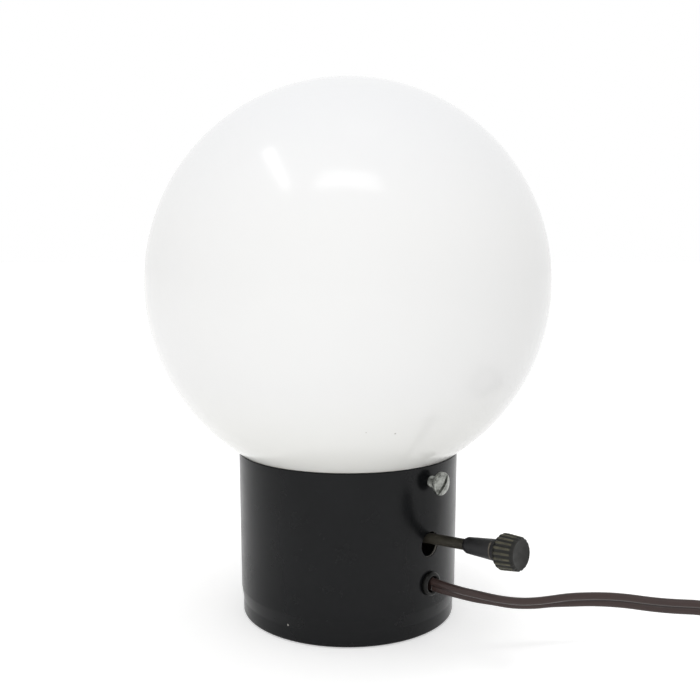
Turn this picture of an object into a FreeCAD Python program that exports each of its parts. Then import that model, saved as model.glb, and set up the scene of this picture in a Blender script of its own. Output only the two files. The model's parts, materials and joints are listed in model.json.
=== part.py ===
import FreeCAD, Part
import math
import os
from types import SimpleNamespace

import Sketcher
from FreeCAD import Placement, Rotation, Vector

# Glass globe table lamp. Origin at the middle of the face it stands on, +Z up.
# +X is the side of the clamp screw, the switch knob and the cord.

# Driving dimensions in millimetres, with angles in degrees and counts as plain numbers.
SIZES = {
    # opal glass globe: a sphere with a short neck and a turned-out lip
    "globe_diameter": 152.4,
    "glass_wall": 2.6,
    "neck_fillet": 3.0,
    "lip_gap": 1.6,
    "groove_depth": 2.9,
    "globe_rim_gap": -0.27811,
    "lip_curve": 3.4,
    "lip_land": 0.6,
    "lip_depth": 13.5,
    # drawn steel base, a cup with a slightly necked-in foot
    "rim_height": 63.5,
    "rim_diameter": 84.4,
    "rim_flare": 0.35,
    "band_step": 0.7,
    "band_height": 6.4,
    "step_curve": 2.2,
    "shell_wall": 0.9,
    "foot_radius": 1.6,
    "foot_lift": 0.4,
    "floor_recess": 1.2,
    "foot_width": 4.65,
    "switch_hole_diameter": 9.5,
    "switch_hole_height": 35.6,
    # felt under the base
    "felt_gap": 0.3,
    # ledge ring inside the base that the glass lip stands on
    "seat_bearing": 4.9,
    "seat_thickness": 1.0,
    "seat_skirt": 6.0,
    "weld_gap": 0.1,
    # clamp screw, backed off the glass
    "screw_diameter": 4.1,
    "screw_length": 6.0,
    "screw_head_diameter": 8.9,
    "screw_head_side": 1.1,
    "screw_head_dome": 1.1,
    "screw_slot_width": 1.1,
    "screw_slot_depth": 1.2,
    "screw_slot_angle": 39.0,
    "screw_lip_gap": 0.35,
    "thread_gap": 0.08,
    # hat-shaped strap that carries the socket
    "strap_clear_height": 8.6,
    "strap_thickness": 1.4,
    "strap_width": 16.0,
    "strap_hat_width": 30.0,
    "strap_foot_length": 11.0,
    "rivet_diameter": 3.2,
    "rivet_head_diameter": 6.0,
    "rivet_head_height": 1.0,
    "rivet_gap": 0.05,
    # threaded nipple, nut and washer
    "nipple_diameter": 10.2,
    "nipple_bore": 7.0,
    "nipple_below_nut": 0.6,
    "nipple_in_socket": 6.0,
    "nut_across_flats": 14.3,
    "nut_thickness": 3.0,
    "washer_diameter": 17.0,
    "washer_thickness": 0.8,
    # moulded socket with the switch in its lower half
    "socket_diameter": 36.8,
    "socket_foot_diameter": 22.0,
    "socket_foot_height": 5.0,
    "socket_shoulder_height": 5.0,
    "socket_height": 58.0,
    "socket_edge": 0.8,
    "mouth_depth": 23.8,
    "contact_pocket_diameter": 14.0,
    "contact_pocket_depth": 2.0,
    "terminal_flat": 32.0,
    "terminal_flat_width": 20.0,
    "terminal_flat_height": 15.0,
    "terminal_flat_start": 9.0,
    # threaded shell that takes the bulb
    "screw_shell_bore": 27.4,
    "screw_shell_wall": 0.5,
    "screw_shell_height": 21.9,
    "screw_shell_hole": 11.0,
    "fit_gap": 0.2,
    # springy centre contact
    "contact_width": 5.0,
    "contact_strip": 0.4,
    "contact_foot_length": 6.0,
    "contact_leaf_length": 3.5,
    "contact_bend_place": 2.8,
    "contact_rise": 1.4,
    "contact_gap": 0.25,
    # terminals
    "terminal_plate_width": 9.0,
    "terminal_plate_height": 13.0,
    "terminal_plate_lift": 0.7,
    "terminal_ear_height": 6.0,
    "terminal_ear_reach": 5.0,
    "terminal_screw_place": 8.8,
    "terminal_plate_thickness": 0.8,
    "terminal_screw_diameter": 3.5,
    "terminal_screw_length": 4.0,
    "terminal_head_diameter": 6.6,
    "terminal_head_height": 1.8,
    # rotary switch: its shaft rises a little towards the knob
    "shaft_rise": 5.0,
    "shaft_diameter": 3.9,
    "shaft_height_at_shell": 36.3,
    "rotor_diameter": 13.2,
    "rotor_length": 6.0,
    "rotor_hub_diameter": 8.0,
    "rotor_hub_length": 5.0,
    "rotor_back": 7.0,
    "rotor_notch_count": 4,
    "rotor_notch_radius": 1.8,
    "switch_bore_diameter": 14.0,
    "switch_bush_length": 6.0,
    "turning_gap": 0.35,
    # knob and the tapered collar behind it
    "collar_start": 58.1,
    "collar_length": 12.5,
    "collar_small_diameter": 5.8,
    "collar_large_diameter": 7.4,
    "collar_lead_in": 0.8,
    "collar_neck_diameter": 6.2,
    "collar_neck_length": 0.9,
    "knob_length": 10.4,
    "knob_rear_diameter": 12.8,
    "knob_front_diameter": 11.4,
    "knob_rear_round": 1.6,
    "knob_front_round": 0.7,
    "knob_socket_depth": 5.0,
    "flute_count": 20,
    "flute_radius": 0.8,
    "flute_depth": 0.45,
    # light bulb
    "bulb_diameter": 60.0,
    "bulb_length": 108.4,
    "bulb_wall": 0.8,
    "bulb_neck_diameter": 28.0,
    "bulb_shoulder_radius": 50.0,
    "base_thread_diameter": 26.4,
    "base_wall": 0.4,
    "base_collar_height": 2.0,
    "base_height": 25.3,
    "insulator_height": 3.9,
    "insulator_top_diameter": 22.0,
    "tip_diameter": 9.0,
    "tip_height": 1.1,
    "mount_tube_diameter": 5.6,
    "mount_height": 30.0,
    "filament_wire": 0.7,
    "filament_span": 18.0,
    "filament_height": 22.0,
    # cord and its bushing
    "cord_width": 5.4,
    "cord_thickness": 2.7,
    "cord_groove": 1.0,
    "cord_height": 19.5,
    "inner_cord_reach": 4.7,
    "bush_body_diameter": 7.8,
    "bush_bore": 5.9,
    "bush_flange_diameter": 8.8,
    "bush_flange_thickness": 1.6,
    "bush_back_diameter": 9.6,
    "bush_back_thickness": 1.6,
    "bush_gap": 0.05,
    "lead_diameter": 2.4,
    # coil of spare cord
    "coil_outer_radius": 37.0,
    "coil_half_turns_in": 8,
    "coil_half_turns_out": 7,
    "coil_pitch": 3.6,
    "coil_layer_rise": 5.9,
    "coil_floor_gap": 0.2,
    # plug
    "plug_length": 27.0,
    "plug_width": 20.0,
    "plug_thickness": 12.0,
    "plug_tail_width": 9.0,
    "plug_tail_thickness": 7.0,
    "plug_face_width": 22.0,
    "blade_spacing": 12.7,
    "blade_width": 6.35,
    "blade_thickness": 1.5,
    "blade_length": 17.5,
}

doc = FreeCAD.newDocument("glass_globe_table_lamp")
parts = []


class Size:
    """A dimension that knows its number and the sheet expression that gives it."""

    def __init__(self, value, text):
        self.value = value
        self.text = text

    @staticmethod
    def of(other):
        if isinstance(other, Size):
            return other
        return Size(float(other), "(%r)" % float(other))

    def joined(self, sign, other, value):
        return Size(value, "(%s %s %s)" % (self.text, sign, other.text))

    def __add__(self, other):
        other = Size.of(other)
        return self.joined("+", other, self.value + other.value)

    def __sub__(self, other):
        other = Size.of(other)
        return self.joined("-", other, self.value - other.value)

    def __mul__(self, other):
        other = Size.of(other)
        return self.joined("*", other, self.value * other.value)

    def __truediv__(self, other):
        other = Size.of(other)
        return self.joined("/", other, self.value / other.value)

    def __radd__(self, other):
        return Size.of(other) + self

    def __rsub__(self, other):
        return Size.of(other) - self

    def __rmul__(self, other):
        return Size.of(other) * self

    def __neg__(self):
        return Size.of(-1) * self


def root(size):
    return Size(math.sqrt(size.value), "sqrt(%s)" % size.text)


def sine(angle):
    return Size(math.sin(math.radians(angle.value)), "sin(%s)" % angle.text)


def cosine(angle):
    return Size(math.cos(math.radians(angle.value)), "cos(%s)" % angle.text)


def arctangent(ratio):
    return Size(math.degrees(math.atan(ratio.value)), "atan(%s)" % ratio.text)


def make_sheet():
    """Write the driving dimensions into a sheet and return them as Size values."""
    sheet = doc.addObject("Spreadsheet::Sheet", "Sizes")
    for row, (alias, value) in enumerate(SIZES.items(), start=1):
        sheet.set("A%d" % row, alias)
        sheet.set("B%d" % row, str(value))
        sheet.setAlias("B%d" % row, alias)
    doc.recompute()
    named = {alias: Size(float(sheet.get(alias)), "Sizes." + alias) for alias in SIZES}
    return SimpleNamespace(**named)


size = make_sheet()


# Sketches and features

def line(x, y):
    return ("line", x, y, None, None)


def arc(x, y, radius, side):
    """An arc of less than half a turn to x, y that bends to the left or to the right."""
    return ("arc", x, y, radius, side)


def arc_geometry(start, end, radius, side):
    mid = (start + end) * 0.5
    chord = end - start
    rise = math.sqrt(max(radius ** 2 - chord.Length ** 2 / 4, 0))
    normal = Vector(-chord.y, chord.x, 0).normalize()
    centre = mid + normal * (rise if side == "left" else -rise)
    first, last = (start, end) if side == "left" else (end, start)
    begin = math.atan2(first.y - centre.y, first.x - centre.x)
    finish = math.atan2(last.y - centre.y, last.x - centre.x)
    if finish < begin:
        finish += 2 * math.pi
    return Part.ArcOfCircle(Part.Circle(centre, Vector(0, 0, 1), radius), begin, finish)


def place_point(sketch, geometry, position, x, y):
    for coordinate, kind, axis in ((x, "DistanceX", -2), (y, "DistanceY", -1)):
        coordinate = Size.of(coordinate)
        if coordinate.text == "(0.0)":
            sketch.addConstraint(Sketcher.Constraint("PointOnObject", geometry, position, axis))
            continue
        index = sketch.addConstraint(
            Sketcher.Constraint(kind, -1, 1, geometry, position, coordinate.value))
        sketch.setExpression("Constraints[%d]" % index, coordinate.text)


def add_outline(sketch, start, steps):
    """Draw a closed outline; a last line closes it."""
    corners = [start] + [(step[1], step[2]) for step in steps]
    plain = [Vector(Size.of(x).value, Size.of(y).value, 0) for x, y in corners]
    if (plain[-1] - plain[0]).Length > 1e-9:
        steps = list(steps) + [line(*start)]
        plain.append(plain[0])
        corners.append(start)
    first = sketch.GeometryCount
    ends = []
    for number, step in enumerate(steps):
        begin, finish = plain[number], plain[number + 1]
        if step[0] == "line":
            sketch.addGeometry(Part.LineSegment(begin, finish))
            ends.append((1, 2))
        else:
            sketch.addGeometry(arc_geometry(begin, finish, Size.of(step[3]).value, step[4]))
            ends.append((1, 2) if step[4] == "left" else (2, 1))
    count = len(steps)
    for number, step in enumerate(steps):
        geometry = first + number
        after = first + (number + 1) % count
        sketch.addConstraint(Sketcher.Constraint(
            "Coincident", geometry, ends[number][1], after, ends[(number + 1) % count][0]))
        place_point(sketch, geometry, ends[number][0], *corners[number])
        if step[0] == "arc":
            radius = Size.of(step[3])
            index = sketch.addConstraint(Sketcher.Constraint("Radius", geometry, radius.value))
            sketch.setExpression("Constraints[%d]" % index, radius.text)


def add_circle(sketch, x, y, radius):
    radius = Size.of(radius)
    centre = Vector(Size.of(x).value, Size.of(y).value, 0)
    sketch.addGeometry(Part.Circle(centre, Vector(0, 0, 1), radius.value))
    geometry = sketch.GeometryCount - 1
    place_point(sketch, geometry, 3, x, y)
    index = sketch.addConstraint(Sketcher.Constraint("Radius", geometry, radius.value))
    sketch.setExpression("Constraints[%d]" % index, radius.text)


def new_body(label):
    body = doc.addObject("PartDesign::Body", label)
    body.Label = label
    return body


def new_sketch(body, plane, offset=0, turn=None, rise=None):
    """A sketch on an origin plane of its body, set off along the plane's normal.

    It may also be lifted along its own Y by rise and turned about its normal.
    """
    sketch = body.newObject("Sketcher::SketchObject", body.Label + "_sketch")
    feature = [f for f in body.Origin.OriginFeatures if f.Role == plane][0]
    sketch.AttachmentSupport = [(feature, "")]
    sketch.MapMode = "FlatFace"
    offset = Size.of(offset)
    if turn is not None:
        sketch.AttachmentOffset = Placement(Vector(0, 0, 0), Rotation(Vector(0, 0, 1), turn.value))
        sketch.setExpression("AttachmentOffset.Rotation.Angle", turn.text)
    if offset.value:
        sketch.setExpression("AttachmentOffset.Base.z", offset.text)
    if rise is not None:
        sketch.setExpression("AttachmentOffset.Base.y", rise.text)
    return sketch


def revolve(body, sketch, axis, cut=False):
    kind = "PartDesign::Groove" if cut else "PartDesign::Revolution"
    feature = body.newObject(kind, body.Label + "_turned")
    feature.Profile = sketch
    feature.ReferenceAxis = (sketch, [axis])
    feature.Angle = 360
    return feature


def extrude(body, sketch, length, both_ways=False, backwards=False, cut=False):
    kind = "PartDesign::Pocket" if cut else "PartDesign::Pad"
    feature = body.newObject(kind, body.Label + ("_pocket" if cut else "_pad"))
    feature.Profile = sketch
    length = Size.of(length)
    feature.Length = length.value
    feature.setExpression("Length", length.text)
    if both_ways:
        feature.SideType = "Symmetric"
    feature.Reversed = backwards
    return feature


def polar(body, feature, plane_axis, count):
    """Repeat a feature round one of the body's axes."""
    axis = [f for f in body.Origin.OriginFeatures if f.Role == plane_axis][0]
    pattern = body.newObject("PartDesign::PolarPattern", body.Label + "_pattern")
    pattern.Originals = [feature]
    pattern.Axis = (axis, [""])
    pattern.Angle = 360
    pattern.setExpression("Occurrences", count.text)
    body.Tip = pattern
    return pattern


def tilt_with_shaft(body):
    """Lay a body that was drawn along X on the axis of the switch shaft."""
    body.Placement = Placement(Vector(0, 0, 0), Rotation(Vector(0, -1, 0), size.shaft_rise.value))
    body.setExpression("Placement.Base.z", shaft_middle.text)
    body.setExpression("Placement.Rotation.Angle", size.shaft_rise.text)


def group(label, members):
    compound = doc.addObject("Part::Compound", label)
    compound.Label = label
    compound.Links = members
    keep(compound)


def keep(part):
    parts.append(part)


def ring(label, inner, outer, bottom, height):
    """A plain flat ring between two radii."""
    body = new_body(label)
    sketch = new_sketch(body, "XY_Plane", bottom)
    add_circle(sketch, 0, 0, outer)
    add_circle(sketch, 0, 0, inner)
    extrude(body, sketch, height)
    keep(body)
    return body


# Places that several pieces share

rim_radius = size.rim_diameter / 2
skirt_radius = rim_radius - size.rim_flare
band_radius = skirt_radius - size.band_step
foot_rim_radius = band_radius - size.foot_width
step_offset = skirt_radius - band_radius
step_height = 2 * root(size.step_curve * step_offset - step_offset * step_offset / 4)
skirt_bottom = size.band_height + step_height
floor_under = size.foot_lift + size.floor_recess
floor_top = floor_under + size.shell_wall


def wall_at(height):
    """Outer radius of the slightly flared wall of the base."""
    lean = (rim_radius - skirt_radius) / (size.rim_height - skirt_bottom)
    return skirt_radius + lean * (height - skirt_bottom)


globe_radius = size.globe_diameter / 2
rim_edge = size.shell_wall / 2
rim_bead = rim_radius - rim_edge
globe_clear = globe_radius + size.globe_rim_gap + rim_edge
globe_middle = size.rim_height - rim_edge + root(globe_clear * globe_clear - rim_bead * rim_bead)
lip_radius = rim_radius - size.shell_wall - size.lip_gap
lip_offset = size.groove_depth
waist_radius = lip_radius - lip_offset
lip_half = root(size.lip_curve * lip_offset - lip_offset * lip_offset / 4)
lip_bottom = size.rim_height - size.lip_depth
lip_top = lip_bottom + size.lip_land + 2 * lip_half
fillet_reach = waist_radius + size.neck_fillet
globe_reach = globe_radius + size.neck_fillet
fillet_height = globe_middle - root(globe_reach * globe_reach - fillet_reach * fillet_reach)
screw_height = (lip_top + fillet_height) / 2

strap_under = floor_top + size.strap_clear_height
strap_top = strap_under + size.strap_thickness
rivet_place = size.strap_hat_width / 2 + size.strap_foot_length / 2
socket_foot = strap_top + size.washer_thickness
socket_top = socket_foot + size.socket_height
socket_radius = size.socket_diameter / 2
mouth_floor = socket_top - size.mouth_depth
shell_bore_radius = size.screw_shell_bore / 2
shell_outer_radius = shell_bore_radius + size.screw_shell_wall
mouth_radius = shell_outer_radius + size.fit_gap
flat_bottom = socket_foot + size.terminal_flat_start
flat_depth = size.terminal_flat / 2
plate_bottom = flat_bottom + size.terminal_plate_lift
plate_face = flat_depth + size.terminal_plate_thickness
ear_outside = size.terminal_plate_width / 2 + size.terminal_plate_thickness
terminal_height = plate_bottom + size.terminal_screw_place

shaft_radius = size.shaft_diameter / 2
shaft_slope = sine(size.shaft_rise) / cosine(size.shaft_rise)
shaft_middle = size.shaft_height_at_shell - rim_radius * shaft_slope
switch_bore_radius = size.switch_bore_diameter / 2
knob_start = size.collar_start + size.collar_length

contact_top = mouth_floor + size.contact_rise
bulb_bottom = contact_top + size.contact_gap
collar_top = bulb_bottom + size.base_height
collar_bottom = collar_top - size.base_collar_height
bulb_radius = size.bulb_diameter / 2
bulb_neck_radius = size.bulb_neck_diameter / 2
bulb_middle = bulb_bottom + size.bulb_length - bulb_radius
mount_top = collar_top + size.mount_height

bush_back = wall_at(size.cord_height) + size.bush_gap
bush_face = bush_back + size.bush_flange_thickness
cord_start = rim_radius - size.inner_cord_reach


# Base

def base_shell():
    """Drawn cup: recessed floor, foot bead, necked foot band and a slightly flared wall."""
    wall = size.shell_wall
    edge = wall / 2
    curve = size.step_curve
    low_x = band_radius + curve
    mid_x = band_radius + step_offset / 2
    mid_y = size.band_height + step_height / 2
    stretch = (curve + wall) / curve
    inner_mid_x = low_x - (low_x - mid_x) * stretch
    inner_mid_y = size.band_height + (mid_y - size.band_height) * stretch
    body = new_body("base_shell")
    sketch = new_sketch(body, "XZ_Plane")
    add_outline(sketch, (0, floor_under), [
        line(foot_rim_radius, floor_under),
        line(foot_rim_radius, size.foot_lift),
        line(band_radius - size.foot_radius, size.foot_lift),
        arc(band_radius, size.foot_lift + size.foot_radius, size.foot_radius, "left"),
        line(band_radius, size.band_height),
        arc(mid_x, mid_y, curve, "right"),
        arc(skirt_radius, skirt_bottom, curve, "left"),
        line(rim_radius, size.rim_height - edge),
        arc(rim_radius - edge, size.rim_height, edge, "left"),
        arc(rim_radius - wall, size.rim_height - edge, edge, "left"),
        line(skirt_radius - wall, skirt_bottom),
        arc(inner_mid_x, inner_mid_y, curve - wall, "right"),
        arc(band_radius - wall, size.band_height, curve + wall, "left"),
        line(band_radius - wall, size.foot_lift + size.foot_radius),
        arc(band_radius - size.foot_radius, size.foot_lift + wall, size.foot_radius - wall, "right"),
        line(foot_rim_radius + wall, size.foot_lift + wall),
        line(foot_rim_radius + wall, floor_top),
        line(0, floor_top),
    ])
    revolve(body, sketch, "V_Axis")
    holes = new_sketch(body, "YZ_Plane")
    add_circle(holes, 0, screw_height, size.screw_diameter / 2 + size.thread_gap)
    add_circle(holes, 0, size.switch_hole_height, size.switch_hole_diameter / 2)
    add_circle(holes, 0, size.cord_height, size.bush_body_diameter / 2 + size.bush_gap)
    extrude(body, holes, rim_radius + wall, backwards=True, cut=True)
    rivets = new_sketch(body, "XY_Plane")
    for side in (1, -1):
        add_circle(rivets, 0, side * rivet_place, size.rivet_diameter / 2 + size.rivet_gap)
    extrude(body, rivets, floor_top + wall, backwards=True, cut=True)
    keep(body)


def felt_pad():
    """Felt disc in the recess under the floor, with pockets over the rivet heads."""
    body = new_body("felt_pad")
    sketch = new_sketch(body, "XY_Plane")
    add_circle(sketch, 0, 0, foot_rim_radius - size.felt_gap)
    extrude(body, sketch, floor_under)
    pockets = new_sketch(body, "XY_Plane", floor_under)
    for side in (1, -1):
        add_circle(pockets, 0, side * rivet_place, size.rivet_head_diameter / 2 + size.felt_gap)
    extrude(body, pockets, size.rivet_head_height, cut=True)
    keep(body)


def globe_seat():
    """Rolled angle ring welded inside the base; the lip of the glass stands on its ledge."""
    foot = lip_bottom - size.seat_skirt
    outer = wall_at(foot) - size.shell_wall - size.weld_gap
    thick = size.seat_thickness
    inner = lip_radius - size.seat_bearing
    body = new_body("globe_seat")
    sketch = new_sketch(body, "XZ_Plane")
    add_outline(sketch, (inner, lip_bottom - thick), [
        line(outer - 2 * thick, lip_bottom - thick),
        arc(outer - thick, lip_bottom - 2 * thick, thick, "right"),
        line(outer - thick, foot),
        line(outer, foot),
        line(outer, lip_bottom - 2 * thick),
        arc(outer - 2 * thick, lip_bottom, 2 * thick, "left"),
        line(inner, lip_bottom),
    ])
    revolve(body, sketch, "V_Axis")
    keep(body)


def socket_strap():
    """Hat-shaped steel strap: two feet on the floor and a raised middle."""
    thick = size.strap_thickness
    hat = size.strap_hat_width / 2
    reach = hat + size.strap_foot_length
    body = new_body("socket_strap")
    sketch = new_sketch(body, "YZ_Plane")
    add_outline(sketch, (-reach, floor_top), [
        line(thick - hat, floor_top),
        line(thick - hat, strap_under - thick),
        arc(2 * thick - hat, strap_under, thick, "right"),
        line(hat - 2 * thick, strap_under),
        arc(hat - thick, strap_under - thick, thick, "right"),
        line(hat - thick, floor_top),
        line(reach, floor_top),
        line(reach, floor_top + thick),
        line(hat, floor_top + thick),
        line(hat, strap_top - 2 * thick),
        arc(hat - 2 * thick, strap_top, 2 * thick, "left"),
        line(2 * thick - hat, strap_top),
        arc(-hat, strap_top - 2 * thick, 2 * thick, "left"),
        line(-hat, floor_top + thick),
        line(-reach, floor_top + thick),
    ])
    extrude(body, sketch, size.strap_width, both_ways=True)
    holes = new_sketch(body, "XY_Plane")
    add_circle(holes, 0, 0, size.nipple_diameter / 2 + size.fit_gap)
    for side in (1, -1):
        add_circle(holes, 0, side * rivet_place, size.rivet_diameter / 2 + size.rivet_gap)
    extrude(body, holes, strap_top + thick, backwards=True, cut=True)
    keep(body)


def strap_rivets():
    """Two round-head rivets through the strap's feet and the floor."""
    members = []
    shank = size.rivet_diameter / 2
    head = size.rivet_head_diameter / 2
    height = size.rivet_head_height
    dome = (head * head + height * height) / (2 * height)
    base = floor_top + size.strap_thickness
    closed = floor_under - (height - size.felt_gap)
    for side, name in ((1, "left"), (-1, "right")):
        body = new_body("strap_rivet_" + name)
        sketch = new_sketch(body, "XZ_Plane")
        add_outline(sketch, (0, closed), [
            line(head, closed),
            line(head, floor_under),
            line(shank, floor_under),
            line(shank, base),
            line(head, base),
            arc(0, base + height, dome, "left"),
        ])
        revolve(body, sketch, "V_Axis")
        body.setExpression("Placement.Base.y", (side * rivet_place).text)
        members.append(body)
    group("strap_rivets", members)


def strap_nut():
    """Hexagon nut under the strap."""
    half = size.nut_across_flats / 2
    corner = half / cosine(Size.of(30))
    side = corner / 2
    body = new_body("strap_nut")
    sketch = new_sketch(body, "XY_Plane", strap_under - size.nut_thickness)
    add_outline(sketch, (corner, 0), [
        line(side, half),
        line(-side, half),
        line(-corner, 0),
        line(-side, -half),
        line(side, -half),
    ])
    add_circle(sketch, 0, 0, size.nipple_diameter / 2 + size.thread_gap)
    extrude(body, sketch, size.nut_thickness)
    keep(body)


# Socket and its contacts

def socket_body():
    """Moulded socket: foot, shoulder, barrel with a mouth, a side bore and terminal flats."""
    foot = size.socket_foot_diameter / 2
    edge = size.socket_edge
    bore = size.nipple_diameter / 2 + size.thread_gap
    bore_top = socket_foot + size.nipple_in_socket + size.fit_gap
    foot_top = socket_foot + size.socket_foot_height
    shoulder = foot_top + size.socket_shoulder_height
    pocket = size.contact_pocket_diameter / 2
    pocket_floor = mouth_floor - size.contact_pocket_depth
    body = new_body("socket_body")
    sketch = new_sketch(body, "XZ_Plane")
    add_outline(sketch, (bore, socket_foot), [
        line(foot, socket_foot),
        line(foot, foot_top),
        arc(socket_radius, shoulder, 2 * size.socket_shoulder_height, "left"),
        line(socket_radius, socket_top - edge),
        arc(socket_radius - edge, socket_top, edge, "left"),
        line(mouth_radius + edge, socket_top),
        line(mouth_radius, socket_top - edge),
        line(mouth_radius, mouth_floor),
        line(pocket, mouth_floor),
        line(pocket, pocket_floor),
        line(0, pocket_floor),
        line(0, bore_top),
        line(bore, bore_top),
    ])
    revolve(body, sketch, "V_Axis")
    side_bore = new_sketch(body, "XZ_Plane", turn=size.shaft_rise, rise=shaft_middle)
    deep = -(size.rotor_back + size.turning_gap)
    add_outline(side_bore, (deep, 0), [
        line(deep, switch_bore_radius),
        line(size.socket_diameter, switch_bore_radius),
        line(size.socket_diameter, 0),
    ])
    revolve(body, side_bore, "H_Axis", cut=True)
    for side in (1, -1):
        flat = new_sketch(body, "XZ_Plane", side * flat_depth)
        half = size.terminal_flat_width / 2
        top = flat_bottom + size.terminal_flat_height
        add_outline(flat, (-half, flat_bottom), [
            line(half, flat_bottom),
            line(half, top),
            line(-half, top),
        ])
        extrude(body, flat, socket_radius, backwards=side > 0, cut=True)
        hole = new_sketch(body, "XZ_Plane", side * (flat_depth - size.terminal_screw_length))
        add_circle(hole, 0, terminal_height, size.terminal_screw_diameter / 2 + size.thread_gap)
        extrude(body, hole, socket_radius, backwards=side > 0, cut=True)
    keep(body)


def screw_shell():
    """Thin brass cup in the mouth of the socket."""
    wall = size.screw_shell_wall
    hole = size.screw_shell_hole / 2
    bottom = mouth_floor
    top = bottom + size.screw_shell_height
    body = new_body("screw_shell")
    sketch = new_sketch(body, "XZ_Plane")
    add_outline(sketch, (hole, bottom), [
        line(shell_outer_radius - wall, bottom),
        arc(shell_outer_radius, bottom + wall, wall, "left"),
        line(shell_outer_radius, top),
        line(shell_bore_radius, top),
        line(shell_bore_radius, bottom + wall),
        line(hole, bottom + wall),
    ])
    revolve(body, sketch, "V_Axis")
    keep(body)


def centre_contact():
    """Spring strip folded back over itself, under the tip of the bulb."""
    strip = size.contact_strip
    low = mouth_floor - size.contact_pocket_depth
    bend = (contact_top - low) / 2
    place = size.contact_bend_place
    body = new_body("centre_contact")
    sketch = new_sketch(body, "XZ_Plane")
    add_outline(sketch, (-size.contact_foot_length, low), [
        line(place, low),
        arc(place + bend, low + bend, bend, "left"),
        arc(place, contact_top, bend, "left"),
        line(-size.contact_leaf_length, contact_top),
        line(-size.contact_leaf_length, contact_top - strip),
        line(place, contact_top - strip),
        arc(place + bend - strip, low + bend, bend - strip, "right"),
        arc(place, low + strip, bend - strip, "right"),
        line(-size.contact_foot_length, low + strip),
    ])
    extrude(body, sketch, size.contact_width, both_ways=True)
    keep(body)


def terminals():
    """A plate with a wire ear and its screw on each flat of the socket."""
    plates = []
    screws = []
    half = size.terminal_plate_width / 2
    ear_end = flat_depth + size.terminal_ear_reach
    shank = size.terminal_screw_diameter / 2
    head = size.terminal_head_diameter / 2
    start = flat_depth - size.terminal_screw_length + size.fit_gap
    top = plate_face + size.terminal_head_height
    edge = size.terminal_plate_thickness / 2
    for side, name in ((1, "left"), (-1, "right")):
        plate = new_body("terminal_plate_" + name)
        foot = new_sketch(plate, "XY_Plane", plate_bottom)
        add_outline(foot, (-half, side * flat_depth), [
            line(ear_outside, side * flat_depth),
            line(ear_outside, side * ear_end),
            line(half, side * ear_end),
            line(half, side * plate_face),
            line(-half, side * plate_face),
        ])
        extrude(plate, foot, size.terminal_ear_height)
        upper = new_sketch(plate, "XY_Plane", plate_bottom + size.terminal_ear_height)
        add_outline(upper, (-half, side * flat_depth), [
            line(half, side * flat_depth),
            line(half, side * plate_face),
            line(-half, side * plate_face),
        ])
        extrude(plate, upper, size.terminal_plate_height - size.terminal_ear_height)
        hole = new_sketch(plate, "XZ_Plane")
        add_circle(hole, 0, terminal_height, shank + size.thread_gap)
        extrude(plate, hole, socket_radius, backwards=side < 0, cut=True)
        plates.append(plate)
        screw = new_body("terminal_screw_" + name)
        sketch = new_sketch(screw, "XZ_Plane")
        add_outline(sketch, (0, start), [
            line(shank, start),
            line(shank, plate_face),
            line(head, plate_face),
            line(head, top - edge),
            arc(head - edge, top, edge, "left"),
            line(0, top),
        ])
        revolve(screw, sketch, "V_Axis")
        slot = new_sketch(screw, "XY_Plane", top)
        add_outline(slot, (-head, -edge), [line(head, -edge), line(head, edge), line(-head, edge)])
        extrude(screw, slot, size.terminal_head_height / 2, cut=True)
        screw.Placement = Placement(Vector(0, 0, 0), Rotation(Vector(-side, 0, 0), 90))
        screw.setExpression("Placement.Base.z", terminal_height.text)
        screws.append(screw)
    group("terminal_plates", plates)
    group("terminal_screws", screws)


# Switch, drawn along its shaft and then tilted with it

def switch_rotor():
    """Contact drum of the switch with a hub and round notches in its rim."""
    drum = size.rotor_diameter / 2
    hub = size.rotor_hub_diameter / 2
    back = -size.rotor_back
    step = back + size.rotor_length
    front = step + size.rotor_hub_length
    body = new_body("switch_rotor")
    sketch = new_sketch(body, "XZ_Plane")
    add_outline(sketch, (back, shaft_radius), [
        line(back, drum),
        line(step, drum),
        line(step, hub),
        line(front, hub),
        line(front, shaft_radius),
    ])
    revolve(body, sketch, "H_Axis")
    notch = new_sketch(body, "YZ_Plane", back)
    add_circle(notch, 0, drum + size.rotor_notch_radius / 3, size.rotor_notch_radius)
    cut = extrude(body, notch, size.rotor_length, backwards=True, cut=True)
    polar(body, cut, "X_Axis", size.rotor_notch_count)
    tilt_with_shaft(body)
    keep(body)


def turned_on_shaft(label, outline):
    """A ring or rod turned about the shaft's axis."""
    body = new_body(label)
    sketch = new_sketch(body, "XZ_Plane")
    add_outline(sketch, outline[0], outline[1:])
    revolve(body, sketch, "H_Axis")
    tilt_with_shaft(body)
    keep(body)
    return body


def switch_shaft_parts():
    """Bush in the socket, shaft, and the tapered collar behind the knob."""
    bush_end = socket_radius - size.fit_gap
    bush_start = bush_end - size.switch_bush_length
    bush_radius = switch_bore_radius - size.bush_gap
    bush_bore = shaft_radius + size.turning_gap
    turned_on_shaft("switch_bush", [
        (bush_start, bush_bore),
        line(bush_start, bush_radius),
        line(bush_end, bush_radius),
        line(bush_end, bush_bore),
    ])
    shaft_end = knob_start + size.knob_socket_depth
    turned_on_shaft("switch_shaft", [
        (-size.rotor_back, 0),
        line(-size.rotor_back, shaft_radius),
        line(shaft_end, shaft_radius),
        line(shaft_end, 0),
    ])
    small = size.collar_small_diameter / 2
    large = size.collar_large_diameter / 2
    neck = size.collar_neck_diameter / 2
    neck_start = knob_start - size.collar_neck_length
    turned_on_shaft("shaft_collar", [
        (size.collar_start, shaft_radius),
        line(size.collar_start, small - size.collar_lead_in / 2),
        line(size.collar_start + size.collar_lead_in, small),
        line(neck_start, large),
        line(neck_start, neck),
        line(knob_start, neck),
        line(knob_start, shaft_radius),
    ])


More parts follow.
